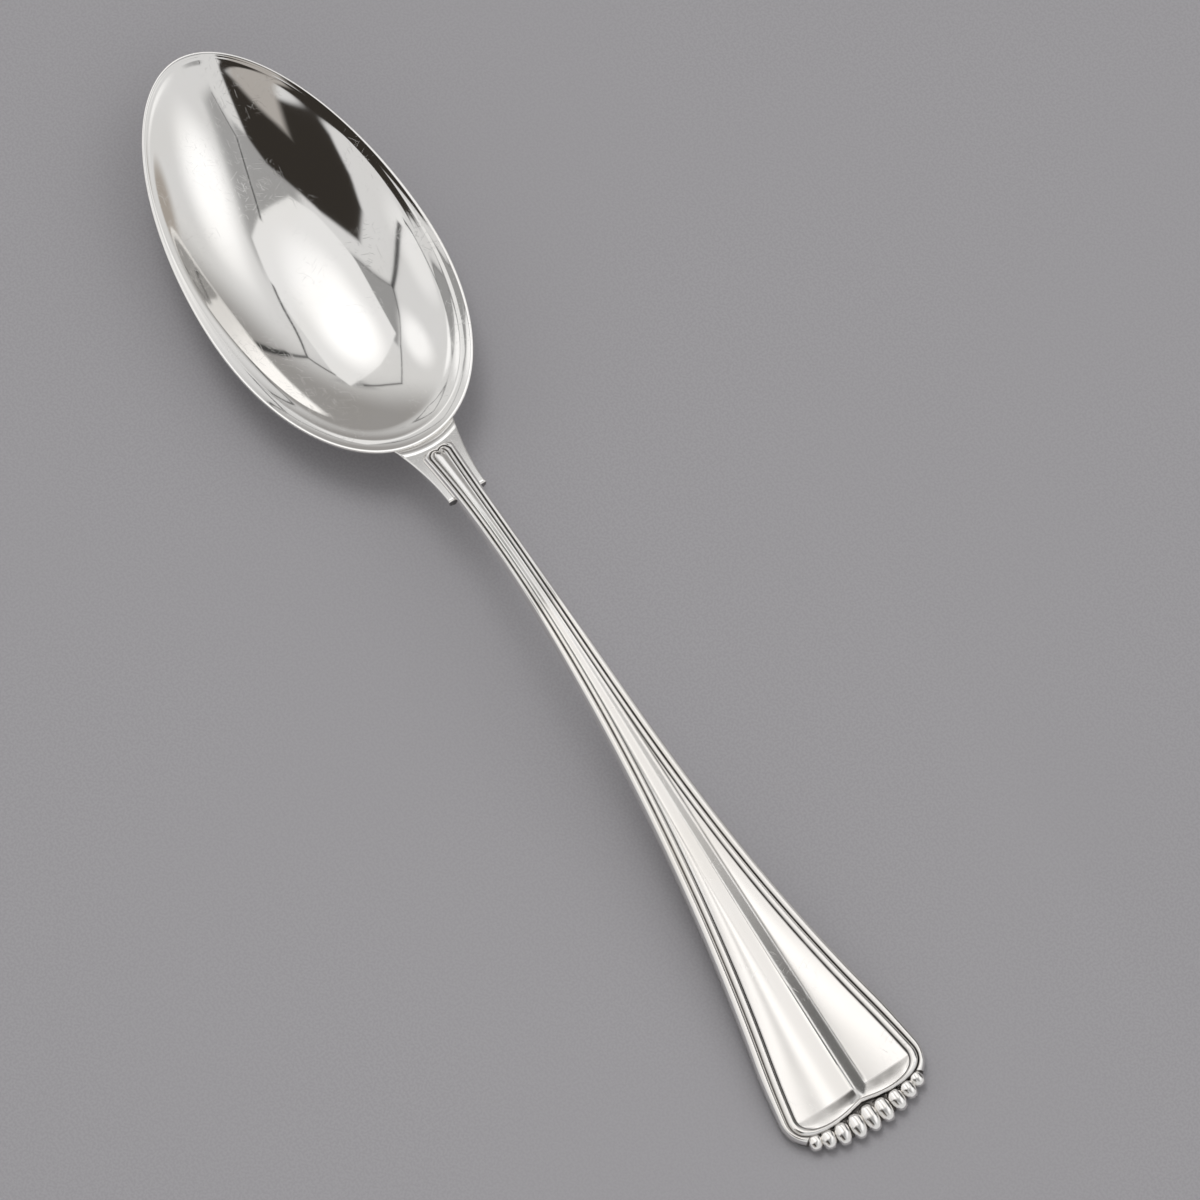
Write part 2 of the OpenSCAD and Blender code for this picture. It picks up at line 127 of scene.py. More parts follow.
class SpoonNeckSizes(bpy.types.PropertyGroup):
    """Sizes of the heel drop and the shoulder plate."""
    drop_length: distance("Drop length", 0.013, "Length of the tongue on the back of the bowl")
    drop_width: distance("Drop width", 0.0094, "Width of the tongue at the shoulder plate")
    drop: distance("Drop", 0.0015, "Thickness of the tongue at the shoulder plate")
    drop_tip: distance("Drop tip", 0.00045, "Thickness of the tongue at its tip")
    plate_length: distance("Plate length", PLATE_HIGH.x - BOWL_HIGH.x, "From the bowl to the step")
    plate_bowl: distance("Plate at the bowl", PLATE_HIGH.y - PLATE_LOW.y, "Width of the plate at the bowl")
    plate_step: distance("Plate at the step", 0.007, "Width of the plate at the step")
    plate: distance("Plate", 0.0026, "Thickness of the plate at the bowl")
    ramp: distance("Ramp", 0.002, "Length of the hollow ramp between bowl and plate")
    rise: distance("Rise", 0.0005, "Height of the bed above the rim where the handle begins")
    rounding: distance("Edge rounding", 0.0003, "Radius worn on the edges of the plate")
    shoulder: distance("Shoulder", 0.0005, "Length over which the plate's top rolls down to the step")


class SpoonHandleSizes(bpy.types.PropertyGroup):
    """Sizes of the stem and the handle."""
    length: distance("Whole length", CAD_HIGH.x - CAD_LOW.x, "From the tip of the bowl to the middle lobe")
    arch: distance("Arch", 0.0165, "Height that sets the arch of the handle")
    stem_width: distance("Stem width", 0.0046, "Narrowest width of the stem")
    width: distance("Handle width", 0.0261, "Width that the sides reach at the corners")
    stem: distance("Stem", 0.0028, "Thickness of the stem's core at the step")
    end: distance("End", 0.00115, "Thickness of the core at the end of the handle")
    overhang: distance("Overhang", CAD_HIGH.x - STEM_HIGH.x, "Overhang of the lobes past the core")
    end_sag: distance("End sag", 0.0042, "Hollow of the end's arc between middle and corners")
    corner: distance("Corner", 0.004, "Length of the rounding at the corners of the end")
    seam: distance("Seam", 0.00003, "Gap of the soldered seams")
    rounding: distance("Edge rounding", 0.00016, "Radius worn on the edges of the core")


class SpoonThreadSizes(bpy.types.PropertyGroup):
    """Sizes of the two raised threads."""
    outer_stem: distance("Outer on the stem", 0.00098, "Width of the outer thread on the stem")
    outer_end: distance("Outer at the corners", 0.0013, "Width of the outer thread at the corners")
    inner_stem: distance("Inner on the stem", 0.00062, "Width of the inner thread on the stem")
    inner_end: distance("Inner at the end", 0.00135, "Width of the inner thread beside the flutes' ends")
    lip: distance("Lip", 0.00075, "Width of the inner thread across the end")
    groove: distance("Groove", 0.00095, "Height of the grooves above the bed")
    crest: distance("Crest", 0.00045, "Height of the crests above the grooves")
    foot: distance("Foot", 0.00015, "Height of the outer thread's outer edge above the bed")
    flank: distance("Flank", 0.0003, "How far the outer thread's flank swells out along the handle")
    flank_start: distance("Flank start", 0.03, "Length from the waist over which the swell grows")
    flank_stop: distance("Flank stop", 0.01, "Length up to the corners over which the swell goes")
    frame_gap: distance("Frame gap", 0.0006, "Room between the ramp and the thread across the neck")
    # Grooves on the left darken by this share of those on the right; the rest on the right is painted shade
    left_groove_share: share("Left groove share", 0.6, "How dark the grooves are on the left, where less shade is painted")
    neck_cusp: distance("Neck cusp", 0.0006, "Depth of the cusp at the neck")


class SpoonPanelSizes(bpy.types.PropertyGroup):
    """Sizes of the fluted panel."""
    ridge: distance("Ridge", 0.0014, "Height above the bed that the ridge nears on the wide panel")
    ridge_round: distance("Ridge rounding", 0.00009, "Radius worn on the ridge")
    ridge_foot: distance("Ridge foot", 0.00012, "Softness of the foot of the ridge")
    floor: distance("Flute floor", 0.00015, "Height above the bed that the flutes near on the wide panel")
    flute_half: distance("Half flute", 0.0015, "Half width at which ridge and flutes are halfway there")
    end_wall: distance("End wall", 0.00175, "Length of the sloping wall beyond the ridge")
    neck_wall: distance("Neck wall", 0.001, "Length of the sloping wall at the neck")
    wide: distance("Wide panel", 0.008, "Half width at which the soft left foot and the lines are full")
    left_foot: distance("Left foot", 0.0012, "Softness of the foot of the ridge on the worn side")
    line: distance("Edge line", 0.0003, "Width of the dark line along the panel's edges")
    # The dark line at the ridge's foot is painted shade
    foot_line: distance("Foot line", 0.00016, "Half width of the dark line at the foot of the ridge")
    arris_soft: distance("Arris softness", 0.00016, "Softness of the arris where the flutes stop")
    wall_soft: distance("Wall softness", 0.00003, "Softness of the line where an end wall meets its floor")
    end_cusp: distance("End cusp", 0.00085, "Depth of the cusp between the two bowed ends")
    lip_room: distance("Lip room", 0.0032, "Room between the inner thread's lip and the core's end")


class SpoonLobeSizes(bpy.types.PropertyGroup):
    """Sizes of the row of lobes."""
    length: distance("Length", 0.0048, "Length of the middle lobe")
    gap: distance("Gap", 0.00002, "Gap between the middle lobe and its neighbours")
    lift: distance("Lift", 0.0001, "Height of the lobes' axis above the bed")
    fan: angle("Fan", 13, "Turn of the outermost lobes")
    dip: angle("Dip", 5, "Dip of the lobes towards their tips")
    pinch: share("Pinch", 0.12, "How far the tips of the lobes are pinched to ridges")
    dart: distance("Dart", 0.0006, "Half width of the darts between the lobes")
    dart_lift: distance("Dart lift", 0.00035, "Height of the darts above the lobes' axis")
    square: share("Square", 0.09, "How far the lobes are squared out between their tops and sides")
    sides: bpy.props.IntProperty(name="Sides", description="Faces round a lobe", default=40, min=8)


class SpoonFinish(bpy.types.PropertyGroup):
    """Colours and wear of the silver, and the colour of its painted shade."""
    silver: tint("Silver", (0.90, 0.885, 0.865), "Colour of the clean metal")
    # The tarnish colour darkens the grooves as tarnish and also paints shade: on the end walls, at the step,
    # low on the lobes and the outer flank, on the darts and deeper in the grooves on the right
    tarnish_and_shade: tint("Tarnish", (0.035, 0.030, 0.026), "Colour of the metal deep in the grooves")
    tarnish_and_shade_share: share("Tarnish share", 0.93, "How dark the grooves have become")
    scratch_length: distance("Scratch length", 0.0028, "Length of the hairline scratches")
    scratches: share("Scratches", 0.26, "Strength of the hairline scratches")
    bowl_gloss: share("Bowl roughness", 0.055, "Roughness of the polished bowl")
    thread_gloss: share("Thread roughness", 0.12, "Roughness of the threads")
    flute_gloss: share("Flute roughness", 0.19, "Roughness of the soft flutes")


class SpoonStageSettings(bpy.types.PropertyGroup):
    """Floor, light and camera."""
    floor: tint("Floor", (0.371, 0.361, 0.378), "Colour of the floor")
    tent: share("Tent", 0.72, "Brightness of the light tent's walls", 4.0)
    lamp: share("Lamp", 5.0, "Brightness of the lamp overhead", 8.0)
    lamp_seen: share("Lamp in the metal", 1.22, "Brightness of the lamp where metal mirrors it", 8.0)
    side: share("Side light", 1.15, "Brightness of the soft light on the right", 8.0)
    white_card: share("White card", 1.3, "Brightness of the card that the flutes mirror", 4.0)
    dark_card: share("Dark card", 1.0, "Brightness of the card that the ridge mirrors", 4.0)
    yaw: angle("Turn", 57.5, "Turn of the camera about the upright")
    elevation: angle("Elevation", 71, "Elevation of the camera above the floor")
    distance: distance("Distance", 0.85, "Distance from the camera to the point it looks at")
    lens: bpy.props.FloatProperty(name="Lens", description="Focal length in millimetres",
                                  default=156.3, min=10.0, max=500.0)
    pan_x: bpy.props.FloatProperty(name="Pan", default=0.013307, unit="LENGTH", subtype="DISTANCE",
                                   description="Shift of the point looked at, to the right", precision=5)
    pan_y: bpy.props.FloatProperty(name="Rise", default=-0.00109, unit="LENGTH", subtype="DISTANCE",
                                   description="Shift of the point looked at, upwards", precision=5)


# Rules of form

# Bowl, in shares of its length, radius or depth
WIDEST = 0.57           # place of the greatest width, from the tip
RIM_LOW_AT = 0.8        # place where the rim is lowest, from the tip
TIP_POWER = 1.95        # power of the outline's curve towards the tip
HEEL_POWER = 2.08       # and towards the heel
OUTLINE_BLUR = 0.14     # how far the two curves are blended where they meet
FLANGE_POWER = 1.1      # how the flange widens from the tip to the heel
ARRIS = 0.5             # place of the arris between the flange's coves
COVE = 0.45             # hollow of the coves
WELL_POWER = 2.5        # power of the well's depth against its radius
SHELL_POWER = 3         # how the shell thins from the middle to the rim
FLAT = 0.13             # radius of the flat that the bowl rests on
FLAT_INSIDE = 0.7       # where the curve of the back starts, in radii of the flat
FLAT_BLEND = 0.8        # stretch over which it is eased in, in radii of the flat

# Heel drop and shoulder plate
DROP_TAPER = 0.45       # how much narrower the tongue is at its tip
DROP_ROUND = 0.85       # how round the tongue's tip is
DROP_EDGE = 0.06        # thickness left at the tongue's edge
DROP_SIDE_POWER = 6     # how suddenly the tongue thins at its sides
DROP_TIP_POWER = 10     # and at its tip
PLATE_POWER = 1.8       # how the plate's sides flare towards the bowl
SHOULDER_FALL = 0.6     # how far the shoulder falls, in shoulders

# Handle, in shares of its length from the bowl or of its width
BED_SHARES = (1.03, 1.53, 0.41, 0.47, 0.13)  # heights that pull the bed's curve, in arches
WAIST = 0.188           # place of the narrowest width
CORNER = 0.9436         # place of the corners
FLARE_POWER = 2.32      # how the sides flare from the waist to the corners
NECK_POWER = 2.6        # how they widen from the waist to the neck
EASE = 0.9              # share of the flare from which the sides turn in
EASE_GAIN = 3.5         # how strongly they turn in
CORE_SIDE = 0.4         # thickness of the core at its sides
CORE_POWER = 2.6        # how full the core's back is
TAPER_POWER = 1.6       # how the core thins towards the end

# Threads and panel
FRAME_CORNER = 0.5      # corners of the edge lines at the neck, in half widths
NECK_ROUND = 4          # power of those corners
END_ROUND = 8           # power of the corners at the end
CUSP_LINES = 2.2        # edge lines over which the cusp at the neck dies away
THREAD_END = 0.8        # share across the end at which the outer thread stops
CREST_AT = 0.42         # place of the crest across the outer thread
CREST_POWER = 0.7       # how full the inner thread is
RIDGE_SIDE = 0.46       # slope of the ridge's sides
RIDGE_WEAR = 2.5        # rounding of the ridge on the wide panel, in roundings on the stem
FLUTE_RISE = 2.6        # how the flutes rise to the panel's edges

# Lobes from the middle one outwards
LOBE_Y = (0, 0.202, 0.41, 0.598, 0.758)   # places, in half widths of the handle
LOBE_LENGTH = (1, 0.92, 0.81, 0.68, 0.57)  # lengths, in middle lobes
LOBE_WIDTH = (1, 1, 0.98, 0.93, 0.87)      # widths, in middle lobes
LOBE_FULL = 1.05        # fullness of a lobe at its inner end
LOBE_TAPER = 0.13       # how much less full it is at its tip
LOBE_BLUNT = 0.34       # how much its two ends are filled out
LOBE_PINCHED = (0.45, 0.9)  # stretch from the inner end to the tip on which it becomes pinched
DART_BACK = 0.93        # place of a dart's foot behind the lobes' tips, in lobe lengths
DART_LENGTH = 2.6       # length of a dart, in half widths

# Tarnish in the grooves and painted shade, whose depth runs from 0 on open metal to 1 in a groove
STEP_SHADE = 0.85        # painted shade on the ends of the plate at the step
NARROW_LINE = 0.45      # width of the panel's edge line on the stem, in lines on the wide panel
LEFT_WALL_SHADE = (0.95, 0.3)   # painted reflection of dark surroundings on the left end wall, beside the ridge and outwards
LEFT_WALL_SHADE_OUT = 0.8     # share across the panel at which the outer value is reached
RIGHT_WALL_SHADE = (0.25, 0.4)  # painted reflection of dark surroundings on the right end wall, at its edges and added in its middle
WALL_ARRIS = (1.03, 0.16)  # where the walls' painted reflection ends at the arris, and over what share of a wall
WALL_FOOT = 0.6         # share of a wall over which its painted reflection grows from the thread
FOOT_FROM_WALL = 0.5    # how far from the arris the line at the ridge's foot is full, in walls
LEFT_FOOT_SHADE = 0.45        # painted shade at the ridge's left foot, on the stem
RIGHT_FOOT_SHADE = 0.75       # painted shade at the ridge's right foot
INNER_DARK = (1.25, 1.5)  # in the inner thread's grooves, and its loss up to the crest
OUTER_DARK = (1.1, 1.7)   # the same for the outer thread's groove
FLANK_SHADE = (0.6, 0.5)   # painted shade on the outer thread's foot: reach and strength
LOBE_SHADE = (0.08, -0.35)  # painted shade: heights on a lobe, in radii, between which it darkens
DART_SHADE = 0.75        # painted shade on the darts between the lobes


# Shapes as functions of place

def mix(a, b, s):
    return a + (b - a) * s


def clamp(s):
    return np.clip(s, 0.0, 1.0)


def smooth(s):
    s = clamp(s)
    return s * s * (3 - 2 * s)


def soft_max(a, b, k):
    """The greater of a and b, with the corner between them rounded over about k."""
    return (a + b + np.sqrt((a - b) ** 2 + k * k)) / 2


def round_end(s, power):
    """How far a rounded end lies back at a share s across it, from 0 in the middle to 1 at the side."""
    return 1 - np.sqrt(np.maximum(0, 1 - np.abs(s) ** power))


def worn(d, radius):
    """How far a worn edge lies below the sharp one, at a distance d inwards from it."""
    d = np.clip(d, 0, radius)
    return radius - np.sqrt(np.maximum(0, radius ** 2 - (radius - d) ** 2))


def bend(a, control, b, steps):
    """Points between a and b on the quadratic curve that the control point pulls."""
    s = np.linspace(0, 1, steps + 2)[1:-1]
    return [a * (1 - t) ** 2 + control * 2 * t * (1 - t) + b * t * t for t in s]


def corner_shares(power, straight, even, turning):
    """Shares from 0 to 1 across an end, closest together on the rounding at 1."""
    first = math.asin(straight ** (power / 2))
    turn = np.sin(np.linspace(first, math.pi / 2, turning)) ** (2 / power)
    return np.concatenate([np.linspace(0, straight, even, endpoint=False), turn])


def crowded_shares(count, crowding):
    """Shares from 0 to 1 that are drawn together towards both ends."""
    t = np.linspace(0, 1, count)
    return mix(t, (1 - np.cos(np.pi * t)) / 2, crowding)


def both_sides(half):
    """Shares from -1 to 1 from a list that runs from 0 to 1."""
    return np.concatenate([-half[:0:-1], half])


class SpoonForms:
    """The spoon's surfaces, by the same rules as its solids. X is measured from the tip of the bowl."""

    def __init__(self, scene):
        self.bowl, self.neck, self.handle = scene.spoon_bowl, scene.spoon_neck, scene.spoon_handle
        self.threads, self.panel, self.lobes = scene.spoon_threads, scene.spoon_panel, scene.spoon_lobes
        bowl, neck, handle = self.bowl, self.neck, self.handle
        self.half_bowl = bowl.width / 2
        self.widest_x = bowl.length * WIDEST
        self.core_end = handle.length - handle.overhang
        self.handle_len = self.core_end - bowl.length
        self.step_x = bowl.length + neck.plate_length
        self.waist_x = bowl.length + self.handle_len * WAIST
        self.corner_x = bowl.length + self.handle_len * CORNER
        self.frame_x = bowl.length + neck.ramp + self.threads.frame_gap
        self.well_depth = bowl.rim_low - bowl.floor - bowl.flange_drop
        self.lip_x = self.core_end - self.panel.lip_room
        self.lobe_width = handle.width / 2 * LOBE_Y[1] - self.lobes.gap
        half = handle.width / 2
        self.flare_gain = half * (1 + EASE_GAIN * (1 - EASE) ** 2) - handle.stem_width / 2
        self.bed_controls = [self.rim_h(bowl.length) + neck.rise,
                             *(handle.arch * s for s in BED_SHARES), handle.end]

    # The bowl
    def rim_h(self, x):
        """Height of the rim."""
        low = self.bowl.length * RIM_LOW_AT
        return self.bowl.rim_low + self.bowl.tip_lift * ((x - low) / low) ** 2

    def outline(self, count):
        """The bowl's outline about its widest place, with the two halves blended where they meet."""
        fine = 1440
        turn = np.arange(fine) * 2 * np.pi / fine
        c, s = np.cos(turn), np.sin(turn)
        power = np.where(c > 0, HEEL_POWER, TIP_POWER)
        reach = np.where(c > 0, self.bowl.length - self.widest_x, self.widest_x)
        sharp = np.stack([reach * np.sign(c) * np.abs(c) ** (2 / power),
                          self.half_bowl * np.sign(s) * np.abs(s) ** (2 / power)], -1)
        steps = np.fft.fftfreq(fine, 1 / fine)[:, None]
        gain = np.exp(-(steps * OUTLINE_BLUR) ** 2 / 2 + OUTLINE_BLUR ** 2 / 2)
        soft = np.fft.ifft(np.fft.fft(sharp, axis=0) * gain, axis=0).real
        blended = mix(sharp, soft, np.abs(s)[:, None])
        return blended[:: fine // count]

    def flange_w(self, p):
        """Width of the flange at places p of the outline, seen from the widest place."""
        heelward = p[:, 0] / np.linalg.norm(p, axis=1)
        return mix(self.bowl.flange_tip, self.bowl.flange_heel, ((1 + heelward) / 2) ** FLANGE_POWER)

    def coves(self, q):
        """Depth share of the flange's two coves, which meet on an arris."""
        outer, inner = clamp(q / ARRIS), clamp((q - ARRIS) / (1 - ARRIS))
        return (ARRIS * outer * (1 + COVE * (1 - outer))
                + (1 - ARRIS) * inner * (1 + COVE * (1 - inner)))

    def raw_depth(self, r, p):
        """Depth of flange and well at a share r of the way from the middle to the outline's places p."""
        width = self.flange_w(p)
        edge = 1 - width / np.linalg.norm(p, axis=1)
        q = clamp((1 - r) / (1 - edge))
        drop = self.bowl.flange_drop * width / self.bowl.flange_heel
        well = drop + self.well_depth * (1 - np.abs(r / edge) ** WELL_POWER)
        return soft_max(drop * self.coves(q), well, self.bowl.roll)

    def depth_share(self, r, p):
        """The same as a share, from 0 at the rim to 1 in the middle."""
        rim, middle = self.raw_depth(1, p), self.raw_depth(0, p)
        return (self.raw_depth(r, p) - rim) / (middle - rim)

    def inner_h(self, r, p, x):
        """Height of the bowl's inside."""
        rim = self.rim_h(x)
        return rim - self.depth_share(r, p) * (rim - self.bowl.floor)

    def outer_h(self, r, p, x):
        """Height of the bowl's back, with the flat that it rests on."""
        rim = self.rim_h(x)
        shell = mix(self.bowl.rim, self.bowl.floor, 1 - r ** SHELL_POWER)
        level = r - self.bowl.wall / np.linalg.norm(p, axis=1) * r * r
        height = rim - self.depth_share(level, p) * (rim - self.bowl.floor) - shell
        return np.maximum(height, 0) * smooth((r - FLAT * FLAT_INSIDE) / (FLAT * FLAT_BLEND))

    def back_h(self, x, y):
        """Height of the bowl's back at places in plan."""
        power = np.where(x < self.widest_x, TIP_POWER, HEEL_POWER)
        reach = np.where(x < self.widest_x, self.widest_x, self.bowl.length - self.widest_x)
        radius = (np.abs(x - self.widest_x) / reach) ** power + (np.abs(y) / self.half_bowl) ** power
        r = np.minimum(1, radius ** (1 / power))
        p = np.stack([(x - self.widest_x) / r, y / r], -1)
        return self.outer_h(r.ravel(), p.reshape(-1, 2), x.ravel()).reshape(x.shape)

    def heel_x(self, y):
        """Place of the bowl's outline on its heel side."""
        across = np.maximum(0, 1 - (np.abs(y) / self.half_bowl) ** HEEL_POWER)
        return self.widest_x + (self.bowl.length - self.widest_x) * across ** (1 / HEEL_POWER)

    # The handle
    def bed_h(self, x):
        """Height of the bed that carries panel, threads and lobes."""
        s = (x - self.bowl.length) / self.handle_len
        points = [np.full_like(s, c) for c in self.bed_controls]
        while len(points) > 1:
            points = [mix(a, b, s) for a, b in zip(points, points[1:])]
        return points[0]

    def core_t(self, x):
        """Thickness of the core."""
        left = clamp((self.core_end - x) / (self.core_end - self.step_x))
        return mix(self.handle.end, self.handle.stem, left ** TAPER_POWER)

    def core_bottom_h(self, x, u, thickness):
        """Height of the handle's back at a share u across its half width."""
        side = np.sqrt(np.maximum(0, 1 - np.abs(u) ** CORE_POWER))
        return self.bed_h(x) - thickness * (CORE_SIDE + (1 - CORE_SIDE) * side)

    def flare(self, x):
        """Share of the way from the waist to the corners."""
        return (x - self.waist_x) / (self.corner_x - self.waist_x)

    def side_w(self, x):
        """Half width of the handle."""
        flare, half = self.flare(x), self.handle.stem_width / 2
        neck = np.maximum(0, (self.waist_x - x) / (self.waist_x - self.frame_x)) ** NECK_POWER
        wide = self.flare_gain * np.maximum(0, flare) ** FLARE_POWER
        ease = EASE_GAIN * self.handle.width / 2 * np.maximum(0, flare - EASE) ** 2
        return half + self.threads.inner_stem * neck + wide - ease + self.flank_w(x)

    def flank_w(self, x):
        """Swell of the outer thread's flank, which grows from the waist and is gone at the corners."""
        threads = self.threads
        grown = smooth((x - self.waist_x) / threads.flank_start)
        return threads.flank * grown * smooth((self.corner_x - x) / threads.flank_stop)

    def thread_w(self, k, x):
        """Width of the outer thread for k = 1 and of the inner thread for k = 0."""
        threads = self.threads
        stem, end = ((threads.inner_stem, threads.inner_end), (threads.outer_stem, threads.outer_end))[k]
        return mix(stem, end, smooth(self.flare(x))) + self.flank_w(x) * k

    def line_w(self, k, x):
        """Half width at edge line k: 0 is the panel's edge, 1 lies between the threads, 2 is outside."""
        return self.side_w(x) - sum(self.thread_w(thread, x) for thread in range(k, 2))

    def neck_x(self, k, u):
        """Place of edge line k across the neck, at a share u of its half width."""
        threads = self.threads
        inside = (threads.outer_stem if k < 2 else 0) + (threads.inner_stem if k < 1 else 0)
        corner = FRAME_CORNER * (self.handle.stem_width - inside) / 2
        cusp = threads.neck_cusp * (1 - k / CUSP_LINES)
        return self.frame_x + inside - cusp * np.abs(np.sin(np.pi * u)) + corner * round_end(u, NECK_ROUND)

    def end_x(self, k, u):
        """Place of edge line k across the end, at a share u of its half width."""
        handle, cusp = self.handle, self.panel.end_cusp
        if k == 2:
            return self.core_end - handle.end_sag * u * u - handle.corner * round_end(u, END_ROUND)
        lip = self.lip_x - cusp - (self.threads.lip if k < 1 else 0) + cusp * np.abs(np.sin(np.pi * u))
        return lip - (handle.corner - (2 - k) * self.threads.outer_end / 2) * round_end(u, END_ROUND)

    def edge_line(self, k, end_from=0.0):
        """Half of edge line k in plan, from the middle of the neck along the side and across the end."""
        neck = corner_shares(NECK_ROUND, straight=0.6, even=26, turning=18)
        side = crowded_shares(300, crowding=0.6)[1:-1]
        end = corner_shares(END_ROUND, straight=0.72, even=44, turning=34)[::-1]
        end = end[end >= end_from]
        first, last = self.neck_x(k, np.ones(1)), self.end_x(k, np.ones(1))
        x = np.concatenate([self.neck_x(k, neck), mix(first, last, side), self.end_x(k, end)])
        u = np.concatenate([neck, np.ones_like(side), end])
        return np.stack([x, self.line_w(k, x) * u], -1)

    # The panel
    def end_share(self, x, across):
        """Share of the way from the bowed end to the straight arris on which the flutes stop."""
        end = self.end_x(0, across)
        arris = self.end_x(0, 0) - self.panel.end_wall
        shortest = 1e-5
        return (end - x) / np.maximum(end - arris, shortest)

    def ridge_foot(self, x, u):
        """How close a place lies to the foot of the ridge, from 0 to 1."""
        panel, width = self.panel, self.line_w(0, x)
        gained = width / (width + panel.flute_half)
        height = (panel.ridge - panel.floor) * gained
        return np.exp(-((np.abs(u) * width - height / RIDGE_SIDE) / panel.foot_line) ** 2)

    def panel_h(self, x, u):
        """Height of the panel: ridge, flutes and end walls, at a share u of its half width."""
        panel, groove = self.panel, self.threads.groove
        width = self.line_w(0, x)
        across = np.abs(u)
        gained = width / (width + panel.flute_half)
        ridge, floor = mix(groove, panel.ridge, gained), mix(groove, panel.floor, gained)
        radius = panel.ridge_round * mix(1, RIDGE_WEAR, smooth(width / panel.wide))
        crest = np.sqrt((across * width) ** 2 + radius ** 2)
        side = ridge - RIDGE_SIDE * np.minimum(crest, width)
        foot = mix(panel.ridge_foot, panel.left_foot, smooth(width / panel.wide) * (u < 0))
        flute = soft_max(side, mix(floor, groove, across ** FLUTE_RISE), foot)
        off_end = clamp(self.end_share(x, across))
        off_neck = clamp((x - self.neck_x(0, across)) / panel.neck_wall)
        share = np.minimum(off_end, off_neck)
        capped = -soft_max(-flute, -mix(groove, panel.ridge, share), panel.arris_soft)
        return self.bed_h(x) + soft_max(mix(groove, panel.floor, share), capped, panel.wall_soft)


# Meshes

def ring_faces(rings, points, closed):
    """Faces between rings that each hold the same number of points."""
    i, j = np.meshgrid(np.arange(rings if closed else rings - 1), np.arange(points), indexing="ij")
    after, beside = (i + 1) % rings, (j + 1) % points
    corners = [i * points + j, i * points + beside, after * points + beside, after * points + j]
    return np.stack(corners, -1).reshape(-1, 4).tolist()


def strip_cap(start, points):
    """Faces that close a ring made of an upper row and the lower row run backwards."""
    i = np.arange(points // 2 - 1)
    other = points - 1 - i
    return np.stack([start + i, start + i + 1, start + other - 1, start + other], -1).tolist()


def make_mesh(name, points, faces, **attributes):
    """A closed mesh in the frame, with its faces outwards and one float attribute for each keyword."""
    points = np.clip(points, CAD_LOW, CAD_HIGH)
    mesh = bpy.data.meshes.new(name)
    mesh.from_pydata(points.reshape(-1, 3).tolist(), [], faces)
    for key, values in attributes.items():
        values = np.broadcast_to(values, points.shape[:-1]).astype(np.float32).ravel()
        mesh.attributes.new(key, "FLOAT", "POINT").data.foreach_set("value", values)
    work = bmesh.new()
    work.from_mesh(mesh)
    bmesh.ops.remove_doubles(work, verts=work.verts, dist=1e-7)
    bmesh.ops.recalc_face_normals(work, faces=work.faces)
    work.to_mesh(mesh)
    work.free()
    mesh.polygons.foreach_set("use_smooth", np.ones(len(mesh.polygons), bool))
    mesh.set_sharp_from_angle(angle=math.radians(SHARP_ABOVE))
    mesh.update()
    return mesh


def slab_mesh(name, forms, top, bottom, closed=False, **attributes):
    """A slab from two grids, its ends closed unless the rows close on themselves."""
    rings = np.concatenate([top, bottom[:, ::-1]], axis=1)
    rings[..., 0] -= forms.handle.length / 2
    count, points = rings.shape[:2]
    faces = ring_faces(count, points, closed)
    if not closed:
        faces += strip_cap(0, points) + strip_cap((count - 1) * points, points)
    return make_mesh(name, rings, faces, **attributes)


def lateral_shares(width, radius, even):
    """Shares across a half width, with extra ones on the worn edge."""
    edge = 1 - radius / width
    turn = edge + (1 - edge) * np.sin(np.linspace(0, np.pi / 2, EDGE_POINTS))
    return both_sides(np.concatenate([np.linspace(0, edge, even, endpoint=False), turn]))


def end_shares(length, radius, count):
    """Shares along a length, with extra ones on the worn edges at both ends."""
    main = crowded_shares(count, crowding=0.6)
    edge = radius / length
    turn = edge * (1 - np.cos(np.linspace(0, np.pi / 2, EDGE_POINTS)))
    clear = edge * 1.2
    main = main[(main > clear) & (main < 1 - clear)]
    return np.concatenate([turn, main, 1 - turn[::-1]])


def stack(x, y, z):
    """Points from three grids of coordinates."""
    return np.stack(np.broadcast_arrays(x, y, z), -1)


